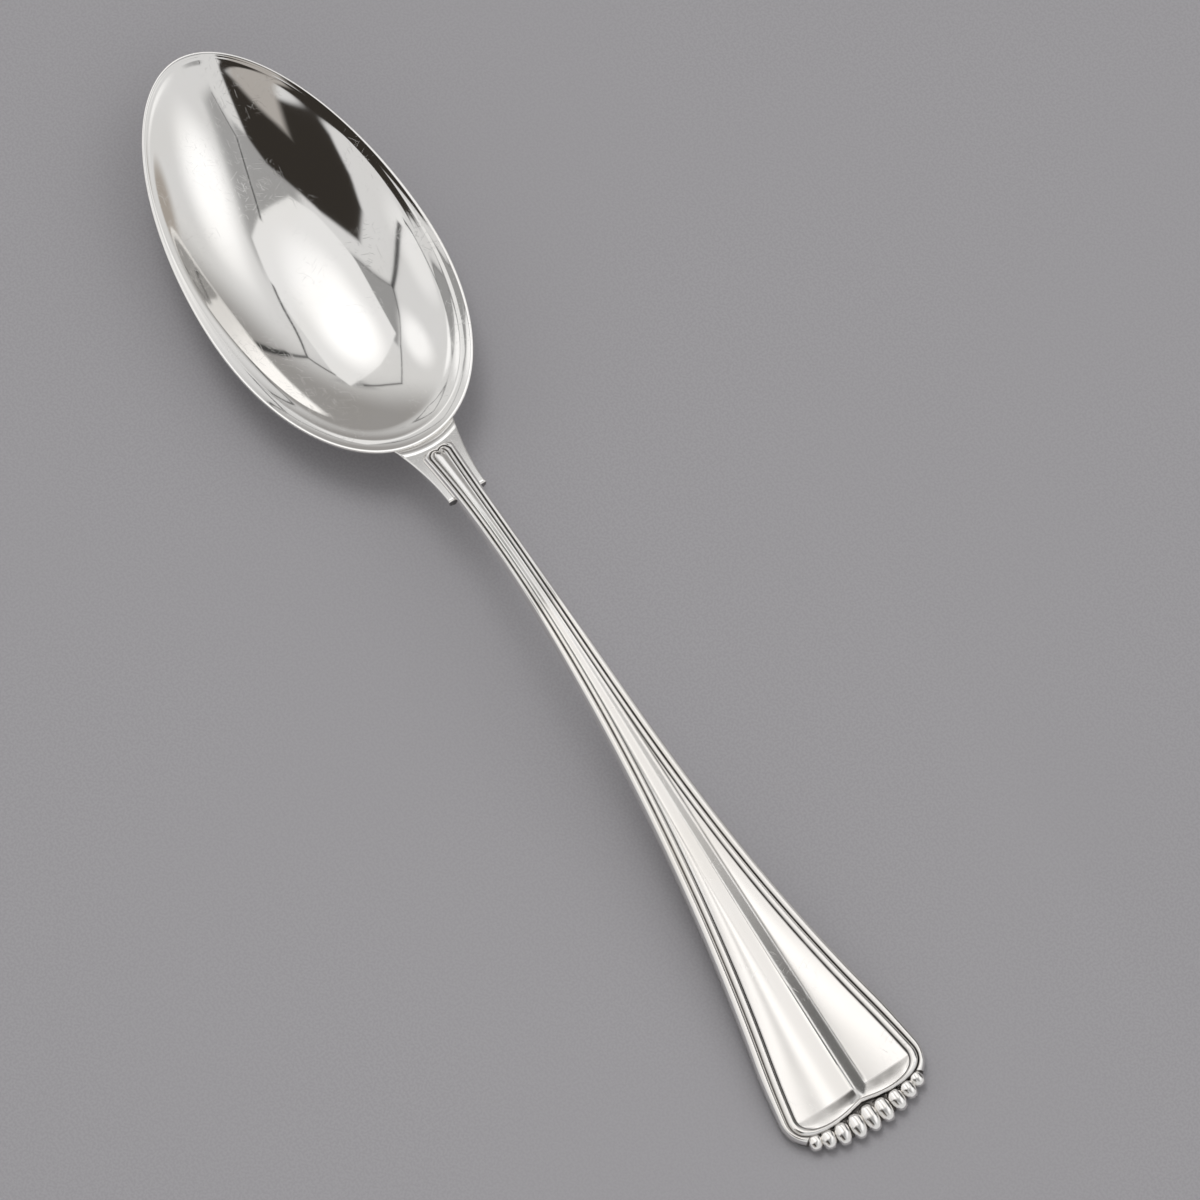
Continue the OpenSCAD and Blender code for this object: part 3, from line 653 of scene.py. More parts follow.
def bowl_mesh(forms):
    """The bowl: well, flange, worn rim and back, in rings from its middle outwards and back."""
    bowl = forms.bowl
    p = forms.outline(count=288)
    reach = np.linalg.norm(p, axis=1)
    unit = p / reach[:, None]
    land = (reach - bowl.land) / reach

    def placed(out, height):
        return stack(forms.widest_x + unit[:, 0] * out, unit[:, 1] * out, height)

    def inner(r):
        x = forms.widest_x + p[:, 0] * r * land
        return placed(reach * r * land, forms.inner_h(r, p, x))

    def outer(r):
        return placed(reach * r, forms.outer_h(r, p, forms.widest_x + p[:, 0] * r))

    edge = 1 - forms.flange_w(p) / reach
    middle, steep = 0.02, 0.8
    well = np.concatenate([np.linspace(middle, steep, 42, endpoint=False), np.linspace(steep, 1, 24)])
    flange = np.linspace(0, 1, 28)[1:-1]
    rings = [inner(s * edge) for s in well] + [inner(mix(edge, 1, s)) for s in flange]
    radius = bowl.rounding
    softened = radius * 0.7
    inside = placed(reach - bowl.land, forms.rim_h(forms.widest_x + unit[:, 0] * (reach - bowl.land)))
    top = placed(reach, forms.rim_h(forms.widest_x + p[:, 0]))
    low = outer(np.ones_like(reach))
    before = inner(1 - softened / (reach * land))
    on_land = mix(inside, top, softened / bowl.land)
    turn_in = mix(top, inside, radius / bowl.land)
    turn_out = top - np.array([0, 0, radius])
    turn_low = low + np.array([0, 0, radius])
    under = outer(1 - radius / reach)
    clear = radius * 0.8
    rings = [ring for ring in rings if (np.linalg.norm(ring - inside, axis=1) > clear).all()]
    rings += [before, *bend(before, inside, on_land, 4), on_land, turn_in, *bend(turn_in, top, turn_out, 5)]
    rings += [turn_out, turn_low, *bend(turn_low, low, under, 4), under]
    smallest, crowding = 0.03, 1.4
    back = mix(1, smallest, np.linspace(0, 1, 62)[2:] ** crowding)
    rings += [outer(np.full_like(reach, r)) for r in back]
    rings = np.array(rings)
    rings[..., 0] -= forms.handle.length / 2
    count, points = rings.shape[:2]
    centre = forms.widest_x - forms.handle.length / 2
    ends = np.array([[centre, 0, bowl.floor], [centre, 0, 0]])
    faces = ring_faces(count, points, False)
    pole, last = count * points, (count - 1) * points
    for j in range(points):
        faces += [[pole, j, (j + 1) % points], [pole + 1, last + (j + 1) % points, last + j]]
    return make_mesh("bowl_silver", np.concatenate([rings.reshape(-1, 3), ends]), faces)


def heel_drop_mesh(forms):
    """The tongue on the back of the bowl, thinned to nothing round its edge."""
    neck, seam = forms.neck, forms.handle.seam
    u = both_sides(np.sin(np.linspace(0, np.pi / 2, 26)))[None, :]
    v = np.sin(np.linspace(0, np.pi / 2, 50))[:, None]
    width = neck.drop_width / 2 * (1 - DROP_TAPER * v)
    x = forms.heel_x(neck.drop_width / 2 * u) - v * neck.drop_length * np.sqrt(1 - DROP_ROUND * u * u)
    y = width * u
    under = forms.back_h(x, y) - 2 * seam
    side = np.sqrt(np.maximum(0, 1 - np.abs(u) ** DROP_SIDE_POWER))
    tip = np.sqrt(np.maximum(0, 1 - v ** DROP_TIP_POWER))
    thick = mix(neck.drop, neck.drop_tip, v) * (1 - u * u / 2) * mix(DROP_EDGE, 1, side * tip)
    return slab_mesh("heel_tongue", forms, stack(x, y, under), stack(x, y, under - thick))


def plate_mesh(forms):
    """The shoulder plate: hollow ramp, flat margins, worn edges and rounded ends at the step."""
    neck, handle = forms.neck, forms.handle
    radius = neck.rounding
    u = lateral_shares(neck.plate_step / 2, radius, even=34)[None, :]
    front = forms.heel_x(neck.plate_bowl / 2 * u) + handle.seam
    ramp = np.linspace(0, 1, 16)[:, None]
    flat = end_shares(neck.plate_length - neck.ramp, radius, count=60)[:, None]
    x = np.concatenate([front + neck.ramp * ramp, mix(front + neck.ramp, forms.step_x, flat[1:])])
    left = clamp((forms.step_x - x) / (forms.step_x - front))
    width = mix(neck.plate_step, neck.plate_bowl, left ** PLATE_POWER) / 2
    climb = 1 - (1 - clamp((x - front) / neck.ramp)) ** 2
    hollow = mix(forms.rim_h(front), forms.bed_h(front + neck.ramp), climb)
    top = np.where(x - front < neck.ramp, hollow, forms.bed_h(x))
    roll = worn(forms.step_x - x, neck.shoulder) * SHOULDER_FALL
    top = top - np.maximum(worn((1 - np.abs(u)) * width, radius), roll)
    thick = mix(neck.plate, handle.stem, clamp((x - forms.bowl.length) / neck.plate_length))
    y = width * u
    recess = np.zeros((x.shape[0], x.shape[1] * 2))
    # Painted shade on the plate's end face at the step
    recess[-1] = STEP_SHADE
    return slab_mesh("shoulder_silver", forms, stack(x, y, top),
                     stack(x, y, forms.core_bottom_h(x, u, thick)), recess=recess)


def stem_mesh(forms):
    """The core of the stem and the back of the handle."""
    handle = forms.handle
    radius = handle.rounding
    usual_half = handle.width / 3
    u = lateral_shares(usual_half, radius, even=36)[None, :]
    v = end_shares(forms.core_end - forms.step_x, radius, count=300)[:, None]
    x = mix(forms.step_x + handle.seam, forms.end_x(2, u), v)
    width = forms.side_w(x)
    edge = np.minimum((1 - np.abs(u)) * width, forms.end_x(2, u) - x)
    y = width * u
    top = forms.bed_h(x) - worn(edge, radius)
    lobe = forms.lobes.length
    # Painted shade on the core's top under the lobes, where it shows between them
    lobe_foot_shade = smooth((x - forms.lip_x + lobe / 3) / (lobe / 6))
    recess = np.concatenate([lobe_foot_shade, np.zeros_like(x)], axis=1)
    return slab_mesh("stem_silver", forms, stack(x, y, top),
                     stack(x, y, forms.core_bottom_h(x, u, forms.core_t(x))), recess=recess)


def panel_recess(forms, x, u):
    """How deep tarnish and painted shade are on the panel: tarnish along its edges, darker on the right by
    painted shade, painted reflection of dark surroundings on the end walls and painted shade at the ridge's
    feet.
    """
    width, across, left = forms.line_w(0, x), np.abs(u), u < 0
    wide = smooth(width / forms.panel.wide)
    reach = forms.panel.line * mix(NARROW_LINE, 1, wide)
    # Tarnish along the panel's edges, made darker on the right by painted shade
    line = smooth(1 - (1 - across) * width / reach) * np.where(left, forms.threads.left_groove_share, 1)
    off_end = forms.end_share(x, across)
    left_wall_shade = mix(*LEFT_WALL_SHADE, clamp(across / LEFT_WALL_SHADE_OUT))
    right_wall_shade = RIGHT_WALL_SHADE[0] + RIGHT_WALL_SHADE[1] * np.sin(np.pi * across)
    # Painted reflection of dark surroundings on the end walls, strong on the left beside the ridge, milder
    # on the right
    wall = smooth((WALL_ARRIS[0] - off_end) / WALL_ARRIS[1]) * smooth(off_end / WALL_FOOT)
    wall = wall * np.where(left, left_wall_shade, right_wall_shade)
    # Painted shade at the ridge's feet, stronger on the right
    foot = forms.ridge_foot(x, u) * smooth((off_end - 1) / FOOT_FROM_WALL)
    foot = foot * np.where(left, mix(LEFT_FOOT_SHADE, 0, wide), RIGHT_FOOT_SHADE)
    return np.maximum(np.maximum(line, wall), foot)


def panel_mesh(forms):
    """The panel with its two flutes, the ridge and the scooped walls."""
    seam = forms.handle.seam
    u = both_sides(corner_shares(END_ROUND, straight=0.8, even=40, turning=14))[None, :]
    v = crowded_shares(300, crowding=0.75)[:, None]
    x = mix(forms.neck_x(0, np.abs(u)), forms.end_x(0, np.abs(u)), v)
    y = (forms.line_w(0, x) - seam) * u
    # The panel's hidden underside against the core gets full painted shade
    recess = np.concatenate([panel_recess(forms, x, u), np.ones_like(x)], axis=1)
    return slab_mesh("flute_silver", forms, stack(x, y, forms.panel_h(x, u)),
                     stack(x, y, forms.bed_h(x) + seam), recess=recess)


def thread_mesh(name, forms, k, shares, heights, recess, end_from=0.0):
    """A thread between edge lines k and k + 1, with its section as shares across and heights.

    It is closed round the panel, or stops at the share end_from across the end.
    """
    seam = forms.handle.seam
    inside, outside = forms.edge_line(k, end_from), forms.edge_line(k + 1, end_from)
    gap = outside - inside
    inside = inside + gap * seam / np.linalg.norm(gap, axis=1)[:, None]
    closed = end_from == 0.0

    def whole(line):
        mirrored = line[::-1] * np.array([1, -1])
        return np.concatenate([mirrored[1:-1] if closed else mirrored[:-1], line])

    inside, outside = whole(inside)[:, None, :], whole(outside)[:, None, :]
    plan = mix(inside, outside, shares[None, :, None])
    x, y = plan[..., 0], plan[..., 1]
    bed = forms.bed_h(x)
    # Grooves on the right get painted shade on top of their tarnish; the thread's hidden underside against
    # the core gets full painted shade
    shade_by_side = mix(forms.threads.left_groove_share, 1, smooth(y / forms.handle.stem_width + 0.5))
    marks = np.concatenate([recess[None, :] * shade_by_side, np.ones_like(x)], axis=1)
    return slab_mesh(name, forms, stack(x, y, bed + heights), stack(x, y, bed + seam), closed,
                     recess=marks)


def inner_thread_mesh(forms):
    """The fine closed thread round the panel."""
    f = crowded_shares(19, crowding=1)
    crown = np.sin(np.pi * f) ** CREST_POWER
    heights = forms.threads.groove + forms.threads.crest * crown
    recess = smooth(INNER_DARK[0] - crown * INNER_DARK[1])
    return thread_mesh("thread_inner", forms, 0, f, heights, recess)


def outer_thread_mesh(forms):
    """The broad thread along the sides, across the neck and round both corners."""
    threads = forms.threads
    f = crowded_shares(23, crowding=1)
    rise = np.sin(np.pi / 2 * np.minimum(1, f / CREST_AT))
    fall = np.sqrt(np.maximum(0, 1 - (np.maximum(0, f - CREST_AT) / (1 - CREST_AT)) ** 2))
    heights = np.where(f < CREST_AT, threads.groove + threads.crest * rise,
                       mix(threads.foot, threads.groove + threads.crest, fall))
    # Tarnish in the groove, and painted shade low on the outer flank
    recess = np.where(f < CREST_AT, smooth(OUTER_DARK[0] - rise * OUTER_DARK[1]),
                      smooth(FLANK_SHADE[0] - fall) * FLANK_SHADE[1])
    return thread_mesh("thread_outer", forms, 1, f, heights, recess, THREAD_END)


def lobe_places(forms):
    """Places of the lobes and darts, with the turn and size of each."""
    lobes, handle = forms.lobes, forms.handle
    level = float(forms.bed_h(np.array([forms.core_end]))[0]) + lobes.lift
    places, turns, sizes, darts = [], [], [], []
    outermost = len(LOBE_Y) - 1
    for number in range(-outermost, outermost + 1):
        i, side = abs(number), np.sign(number)
        y = side * handle.width / 2 * LOBE_Y[i]
        half = forms.side_w(np.array([forms.core_end - handle.end_sag * LOBE_Y[i]]))[0]
        back = forms.end_x(2, 0) - forms.end_x(2, abs(y) / half)
        places.append((handle.length - back, y, level))
        turns.append(side * lobes.fan * LOBE_Y[i] / LOBE_Y[-1])
        radius = forms.lobe_width * LOBE_WIDTH[i] / 2
        sizes.append((lobes.length * LOBE_LENGTH[i], radius, radius))
        darts.append(0)
    for a in range(2 * outermost):
        middle = (Vector(places[a]) + Vector(places[a + 1])) / 2
        length = (sizes[a][0] + sizes[a + 1][0]) / 2
        places.append((middle.x - length * DART_BACK, middle.y, level + lobes.dart_lift))
        turns.append((turns[a] + turns[a + 1]) / 2)
        half = lobes.dart * (sizes[a][1] + sizes[a + 1][1]) / forms.lobe_width
        sizes.append((half * DART_LENGTH, half, half))
        darts.append(1)
    return np.array(places), np.array(turns), np.array(sizes), np.array(darts)


# Node trees

def feed(tree, socket, value):
    """Gives an input a plain value or another node's output."""
    if isinstance(value, bpy.types.NodeSocket):
        tree.links.new(value, socket)
    else:
        socket.default_value = value


def node(tree, kind, inputs=None, **settings):
    """Adds a node with its settings and its inputs."""
    made = tree.nodes.new(kind)
    for key, value in settings.items():
        setattr(made, key, value)
    for key, value in (inputs or {}).items():
        feed(tree, made.inputs[key], value)
    return made


def calc(tree, operation, *values, limited=False):
    """A sum on numbers or outputs, by a Math node."""
    return node(tree, "ShaderNodeMath", dict(enumerate(values)), operation=operation,
                use_clamp=limited).outputs[0]


def ramp(tree, value, low, high, to_low=0.0, to_high=1.0, kind="SMOOTHSTEP"):
    """Maps a range of an output on another range."""
    values = {"Value": value, "From Min": low, "From Max": high, "To Min": to_low, "To Max": to_high}
    return node(tree, "ShaderNodeMapRange", values, interpolation_type=kind).outputs["Result"]


def blend(tree, factor, a, b):
    """Mixes two colours."""
    made = tree.nodes.new("ShaderNodeMix")
    made.data_type = "RGBA"
    for number, value in ((0, factor), (6, a), (7, b)):
        feed(tree, made.inputs[number], value)
    return made.outputs[2]


def new_group(name, kind, inputs, outputs):
    """A node group with named sockets, each given as (name, socket type, default)."""
    group = bpy.data.node_groups.new(name, kind)
    for label, socket, value in inputs:
        made = group.interface.new_socket(label, in_out="INPUT", socket_type="NodeSocket" + socket)
        if value is not None:
            made.default_value = value
    for label, socket in outputs:
        group.interface.new_socket(label, in_out="OUTPUT", socket_type="NodeSocket" + socket)
    return group, group.nodes.new("NodeGroupInput").outputs, group.nodes.new("NodeGroupOutput").inputs


def shared_group(name, build):
    """A node group by its name, built the first time that it is needed."""
    return bpy.data.node_groups.get(name) or build(name)


def use_group(tree, name, build, **inputs):
    """Places a shared node group in a material with the material's own values."""
    return node(tree, "ShaderNodeGroup", inputs, node_tree=shared_group(name, build))


def rgba(colour):
    """A colour as a socket takes it."""
    return (*colour, 1.0)


def scratches_group(name):
    """Hairline scratches that cross each other in crowds, as a mask and a height."""
    group, given, made = new_group(
        name, "ShaderNodeTree",
        [("Vector", "Vector", None), ("Length", "Float", 0.003), ("Width", "Float", 0.0001),
         ("Amount", "Float", 0.5)],
        [("Mask", "Float"), ("Height", "Float")])
    wander = node(group, "ShaderNodeTexNoise", {"Vector": given["Vector"], "Scale": 45.0, "Detail": 1.0})
    sway = 0.0012
    bent = node(group, "ShaderNodeVectorMath", {0: wander.outputs["Color"], 1: (sway, sway, 0.0)},
                operation="MULTIPLY")
    place = node(group, "ShaderNodeVectorMath", {0: given["Vector"], 1: bent.outputs[0]}, operation="ADD")
    along = calc(group, "DIVIDE", 1.0, given["Length"])
    across = calc(group, "DIVIDE", 1.0, given["Width"])
    stretch = node(group, "ShaderNodeCombineXYZ", {"X": along, "Y": across, "Z": 0.0})
    # A scratch lies where the stretched noise passes a threshold, which sinks as the amount grows
    highest, sink, edge = 0.86, 0.12, 0.05
    threshold = calc(group, "SUBTRACT", highest, calc(group, "MULTIPLY", given["Amount"], sink))
    above = calc(group, "ADD", threshold, edge)
    total = 0.0
    for number, degrees in enumerate((8, 64, 118, 151)):
        turned = node(group, "ShaderNodeVectorRotate",
                      {"Vector": place.outputs[0], "Angle": math.radians(degrees)},
                      rotation_type="Z_AXIS")
        moved = node(group, "ShaderNodeVectorMath", {0: turned.outputs[0], 1: (0.31 * number, 0.17, 0.0)},
                     operation="ADD")
        scaled = node(group, "ShaderNodeVectorMath", {0: moved.outputs[0], 1: stretch.outputs[0]},
                      operation="MULTIPLY")
        field = node(group, "ShaderNodeTexNoise", {"Vector": scaled.outputs[0], "Scale": 1.0,
                                                   "Detail": 0.0}, noise_dimensions="2D")
        line = ramp(group, field.outputs["Fac"], threshold, above)
        total = calc(group, "ADD", total, line)
    crowd = node(group, "ShaderNodeTexNoise", {"Vector": given["Vector"], "Scale": 110.0, "Detail": 1.0})
    empty, full = 0.44, 0.66
    crowded = ramp(group, crowd.outputs["Fac"], empty, full)
    mask = calc(group, "MULTIPLY", calc(group, "MINIMUM", total, 1.0), crowded)
    group.links.new(mask, made["Mask"])
    group.links.new(calc(group, "MULTIPLY", mask, -1.0), made["Height"])
    return group


def tarnish_and_shade_group(name):
    """Clean silver that darkens by the depth of tarnish and painted shade, with cloudy edges."""
    group, given, made = new_group(
        name, "ShaderNodeTree",
        [("Vector", "Vector", None), ("Recess", "Float", 0.0), ("Share", "Float", 0.8),
         ("Silver", "Color", (0.9, 0.88, 0.86, 1)), ("Tarnish", "Color", (0.1, 0.09, 0.08, 1))],
        [("Color", "Color"), ("Mask", "Float")])
    cloud = node(group, "ShaderNodeTexNoise", {"Vector": given["Vector"], "Scale": 420.0, "Detail": 4.0,
                                               "Roughness": 0.6})
    patch = node(group, "ShaderNodeTexNoise", {"Vector": given["Vector"], "Scale": 60.0, "Detail": 2.0})
    least, clouding = 0.65, 0.7
    loose = calc(group, "MULTIPLY_ADD", cloud.outputs["Fac"], clouding, least)
    mask = calc(group, "MULTIPLY", given["Recess"], loose, limited=True)
    mask = calc(group, "MULTIPLY", mask, given["Share"])
    yellowed, warmest = (0.86, 0.835, 0.79, 1), 0.35
    warm = ramp(group, patch.outputs["Fac"], 0.42, 0.72, 0.0, warmest)
    base = blend(group, warm, given["Silver"], yellowed)
    group.links.new(blend(group, mask, base, given["Tarnish"]), made["Color"])
    group.links.new(mask, made["Mask"])
    return group


def handling_group(name):
    """Soft cloudy differences in gloss from handling and wiping."""
    group, given, made = new_group(
        name, "ShaderNodeTree",
        [("Vector", "Vector", None), ("Scale", "Float", 90.0), ("Roughness", "Float", 0.1),
         ("Spread", "Float", 0.04)],
        [("Roughness", "Float")])
    haze = node(group, "ShaderNodeTexNoise", {"Vector": given["Vector"], "Scale": given["Scale"],
                                              "Detail": 3.0, "Roughness": 0.55})
    middle = 0.5
    off_middle = calc(group, "SUBTRACT", haze.outputs["Fac"], middle)
    shift = calc(group, "MULTIPLY", off_middle, given["Spread"])
    group.links.new(calc(group, "ADD", given["Roughness"], shift), made["Roughness"])
    return group


def empty_material(name):
    """A material without nodes yet, and its tree."""
    material = bpy.data.materials.new(name)
    material.use_nodes = True
    material.node_tree.nodes.clear()
    return material, material.node_tree


def silver_material(name, finish, roughness, spread, scratch, width, recess):
    """Polished or satin silver: tarnish and painted shade by their depth attribute, hairlines as bump and
    gloss, haze from handling.
    """
    scratch_rough, tarnish_and_shade_rough = 0.12, 0.2
    material, tree = empty_material(name)
    place = node(tree, "ShaderNodeTexCoord").outputs["Object"]
    deep = node(tree, "ShaderNodeAttribute", attribute_name="recess").outputs["Fac"] if recess else 0.0
    tone = use_group(tree, "Tarnish in recesses", tarnish_and_shade_group, Vector=place, Recess=deep,
                     Share=finish.tarnish_and_shade_share, Silver=rgba(finish.silver), Tarnish=rgba(finish.tarnish_and_shade))
    lines = use_group(tree, "Hairline scratches", scratches_group, Vector=place,
                      Length=finish.scratch_length, Width=width, Amount=scratch)
    haze = use_group(tree, "Handling haze", handling_group, Vector=place, Roughness=roughness,
                     Spread=spread)
    rough = calc(tree, "ADD", haze.outputs["Roughness"],
                 calc(tree, "MULTIPLY", lines.outputs["Mask"], scratch_rough))
    rough = calc(tree, "ADD", rough, calc(tree, "MULTIPLY", tone.outputs["Mask"], tarnish_and_shade_rough),
                 limited=True)
    bump = node(tree, "ShaderNodeBump", {"Height": lines.outputs["Height"], "Strength": 0.25,
                                         "Distance": 0.00002})
    shader = node(tree, "ShaderNodeBsdfPrincipled", {
        "Base Color": tone.outputs["Color"], "Metallic": 1.0, "Roughness": rough,
        "Normal": bump.outputs["Normal"]})
    node(tree, "ShaderNodeOutputMaterial", {"Surface": shader.outputs["BSDF"]})
    return material


def shared_material(key):
    """The silver finishes, each made once: roughness, its spread, scratches, their width, tarnish and
    painted shade.
    """
    finish = bpy.context.scene.spoon_finish
    name, *values = {
        "bowl": ("Polished bowl silver", finish.bowl_gloss, 0.02, finish.scratches, 0.00011, False),
        "plate": ("Polished plate silver", finish.thread_gloss, 0.04, finish.scratches, 0.0001, True),
        "thread": ("Thread silver", finish.thread_gloss, 0.05, finish.scratches * 0.7, 0.00012, True),
        "flute": ("Satin flute silver", finish.flute_gloss, 0.08, finish.scratches * 0.8, 0.00012, True),
        "lobe": ("Lobe silver", finish.thread_gloss * 1.2, 0.06, finish.scratches * 0.6, 0.00012, True),
    }[key]
    return bpy.data.materials.get(name) or silver_material(name, finish, *values)


def lobe_tree(name):
    """Geometry Nodes that set a pinched egg on each lobe's place and a dart on each place between."""
    tree, given, made = new_group(
        name, "GeometryNodeTree",
        [("Geometry", "Geometry", None), ("Sides", "Int", 40), ("Dip", "Float", 0.1),
         ("Pinch", "Float", 0.3), ("Square", "Float", 0.1), ("Material", "Material", None)],
        [("Geometry", "Geometry")])

    def named(label, kind):
        """An attribute of the places."""
        field = node(tree, "GeometryNodeInputNamedAttribute", {"Name": label}, data_type=kind)
        return field.outputs["Attribute"]

    def with_recess(geometry, depth):
        """The shape with its depth of painted shade."""
        return node(tree, "GeometryNodeStoreNamedAttribute", {"Geometry": geometry, "Name": "recess",
                                                              "Value": depth},
                    data_type="FLOAT", domain="POINT").outputs[0]

    def picked(operation):
        """The places of the lobes or of the darts, whose dart value is 0 or 1."""
        return node(tree, "FunctionNodeCompare", {"A": named("dart", "FLOAT"), "B": 0.5},
                    data_type="FLOAT", operation=operation).outputs[0]

    ball = node(tree, "GeometryNodeMeshUVSphere", {"Segments": given["Sides"], "Rings": 28, "Radius": 1.0})
    where = node(tree, "GeometryNodeInputPosition").outputs[0]
    at = node(tree, "ShaderNodeSeparateXYZ", {0: where}).outputs
    along = calc(tree, "MULTIPLY_ADD", at["Z"], 0.5, 0.5)
    fat = calc(tree, "MULTIPLY_ADD", along, -LOBE_TAPER, LOBE_FULL)
    fat = calc(tree, "MULTIPLY_ADD", calc(tree, "MULTIPLY", at["Z"], at["Z"]), LOBE_BLUNT, fat)
    spread = calc(tree, "ADD", calc(tree, "POWER", at["X"], 2.0), calc(tree, "POWER", at["Y"], 2.0))
    across = calc(tree, "ABSOLUTE", calc(tree, "MULTIPLY", at["X"], at["Y"]))
    slant = calc(tree, "DIVIDE", calc(tree, "MULTIPLY", across, 2.0),
                 calc(tree, "MAXIMUM", spread, 1e-6))
    at_tip = calc(tree, "MULTIPLY", slant, ramp(tree, along, *LOBE_PINCHED))
    pinched = calc(tree, "SUBTRACT", 1.0, calc(tree, "MULTIPLY", at_tip, given["Pinch"]))
    squared = calc(tree, "MULTIPLY_ADD", calc(tree, "MULTIPLY", slant, slant), given["Square"], pinched)
    fat = calc(tree, "MULTIPLY", fat, squared)
    place = node(tree, "ShaderNodeCombineXYZ", {
        "X": calc(tree, "SUBTRACT", along, 1.0), "Y": calc(tree, "MULTIPLY", at["Y"], fat),
        "Z": calc(tree, "MULTIPLY", calc(tree, "MULTIPLY", at["X"], -1.0), fat)})
    egg = node(tree, "GeometryNodeSetPosition", {"Geometry": ball.outputs["Mesh"],
                                                 "Position": place.outputs[0]})
    moved = node(tree, "GeometryNodeInputPosition").outputs[0]
    height = node(tree, "ShaderNodeSeparateXYZ", {0: moved}).outputs["Z"]
    # Painted shade on the lobes' lower sides, darker the lower they lie
    egg = with_recess(egg.outputs[0], ramp(tree, height, *LOBE_SHADE))
    egg = node(tree, "GeometryNodeSetShadeSmooth", {"Geometry": egg})
    wedge = node(tree, "GeometryNodeMeshCone", {"Vertices": 4, "Side Segments": 1, "Fill Segments": 1,
                                                "Radius Top": 0.0, "Radius Bottom": 1.0, "Depth": 1.0})
    # Painted shade all over the darts between the lobes
    wedge = with_recess(wedge.outputs["Mesh"], DART_SHADE)
    wedge = node(tree, "GeometryNodeTransform", {"Geometry": wedge,
                                                 "Rotation": (0.0, math.pi / 2, 0.0)})
    turn = node(tree, "ShaderNodeCombineXYZ", {"X": 0.0, "Y": given["Dip"], "Z": named("turn", "FLOAT")})
    turned = node(tree, "FunctionNodeEulerToRotation", {0: turn.outputs[0]}).outputs[0]
    joined = node(tree, "GeometryNodeJoinGeometry")
    for shape, operation in ((egg, "LESS_THAN"), (wedge, "GREATER_THAN")):
        row = node(tree, "GeometryNodeInstanceOnPoints", {
            "Points": given["Geometry"], "Selection": picked(operation), "Instance": shape.outputs[0],
            "Rotation": turned, "Scale": named("size", "FLOAT_VECTOR")})
        tree.links.new(row.outputs[0], joined.inputs[0])
    real = node(tree, "GeometryNodeRealizeInstances", {"Geometry": joined.outputs[0]})
    dressed = node(tree, "GeometryNodeSetMaterial", {"Geometry": real.outputs[0],
                                                     "Material": given["Material"]})
    tree.links.new(dressed.outputs[0], made["Geometry"])
    return tree


def lobe_mesh(context, forms, material):
    """The row of lobes and darts as one plain mesh, from the tree run on their places."""
    lobes = forms.lobes
    places, turns, sizes, darts = lobe_places(forms)
    places[:, 0] -= forms.handle.length / 2
    seeds = bpy.data.meshes.new("lobe_places")
    seeds.from_pydata(places.tolist(), [], [])
    seeds.attributes.new("turn", "FLOAT", "POINT").data.foreach_set("value", turns)
    seeds.attributes.new("dart", "FLOAT", "POINT").data.foreach_set("value", darts.astype(float))
    seeds.attributes.new("size", "FLOAT_VECTOR", "POINT").data.foreach_set("vector", sizes.ravel())
    maker = bpy.data.objects.new("lobe_places", seeds)
    context.scene.collection.objects.link(maker)
    row = maker.modifiers.new("Lobe row", "NODES")
    row.node_group = shared_group("Lobe row", lobe_tree)
    values = {"Sides": lobes.sides, "Dip": lobes.dip, "Pinch": lobes.pinch, "Square": lobes.square,
              "Material": material}
    for item in row.node_group.interface.items_tree:
        if item.item_type == "SOCKET" and item.in_out == "INPUT" and item.name in values:
            row[item.identifier] = values[item.name]
    context.view_layer.update()
    shown = maker.evaluated_get(context.evaluated_depsgraph_get())
    mesh = bpy.data.meshes.new_from_object(shown)
    mesh.name = "lobe_row"
    if not mesh.polygons:
        raise RuntimeError("the row of lobes came out empty")
    points = np.empty(len(mesh.vertices) * 3, np.float32)
    mesh.vertices.foreach_get("co", points)
    points = np.clip(points.reshape(-1, 3), CAD_LOW, CAD_HIGH).astype(np.float32)
    mesh.vertices.foreach_set("co", points.ravel())
    mesh.set_sharp_from_angle(angle=math.radians(LOBE_SHARP_ABOVE))
    bpy.data.objects.remove(maker)
    return mesh


# Pieces

def add_piece(mesh, material, slot, *nodes):
    """Puts a finished mesh in the scene, riding on the spoon's body in place of its CAD nodes."""
    piece = bpy.data.objects.new(mesh.name, mesh)
    bpy.context.scene.collection.objects.link(piece)
    piece.data.materials.clear()
    piece.data.materials.append(material)
    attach(piece, BODY)
    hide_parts(*nodes)


class SPOON_OT_make_bowl(bpy.types.Operator):
    """Make the bowl with its flange and worn rim"""
    bl_idname = "spoon.make_bowl"
    bl_label = "Bowl"

    def execute(self, context):
        add_piece(bowl_mesh(SpoonForms(context.scene)), shared_material("bowl"), "polished_silver", "bowl")
        return {"FINISHED"}


class SPOON_OT_make_heel_drop(bpy.types.Operator):
    """Make the tongue on the back of the bowl"""
    bl_idname = "spoon.make_heel_drop"
    bl_label = "Heel drop"

    def execute(self, context):
        mesh = heel_drop_mesh(SpoonForms(context.scene))
        add_piece(mesh, shared_material("plate"), "polished_silver", "heel_drop")
        return {"FINISHED"}


class SPOON_OT_make_plate(bpy.types.Operator):
    """Make the shoulder plate with its ramp and steps"""
    bl_idname = "spoon.make_plate"
    bl_label = "Shoulder plate"

    def execute(self, context):
        mesh = plate_mesh(SpoonForms(context.scene))
        add_piece(mesh, shared_material("plate"), "polished_silver", "shoulder_plate")
        return {"FINISHED"}


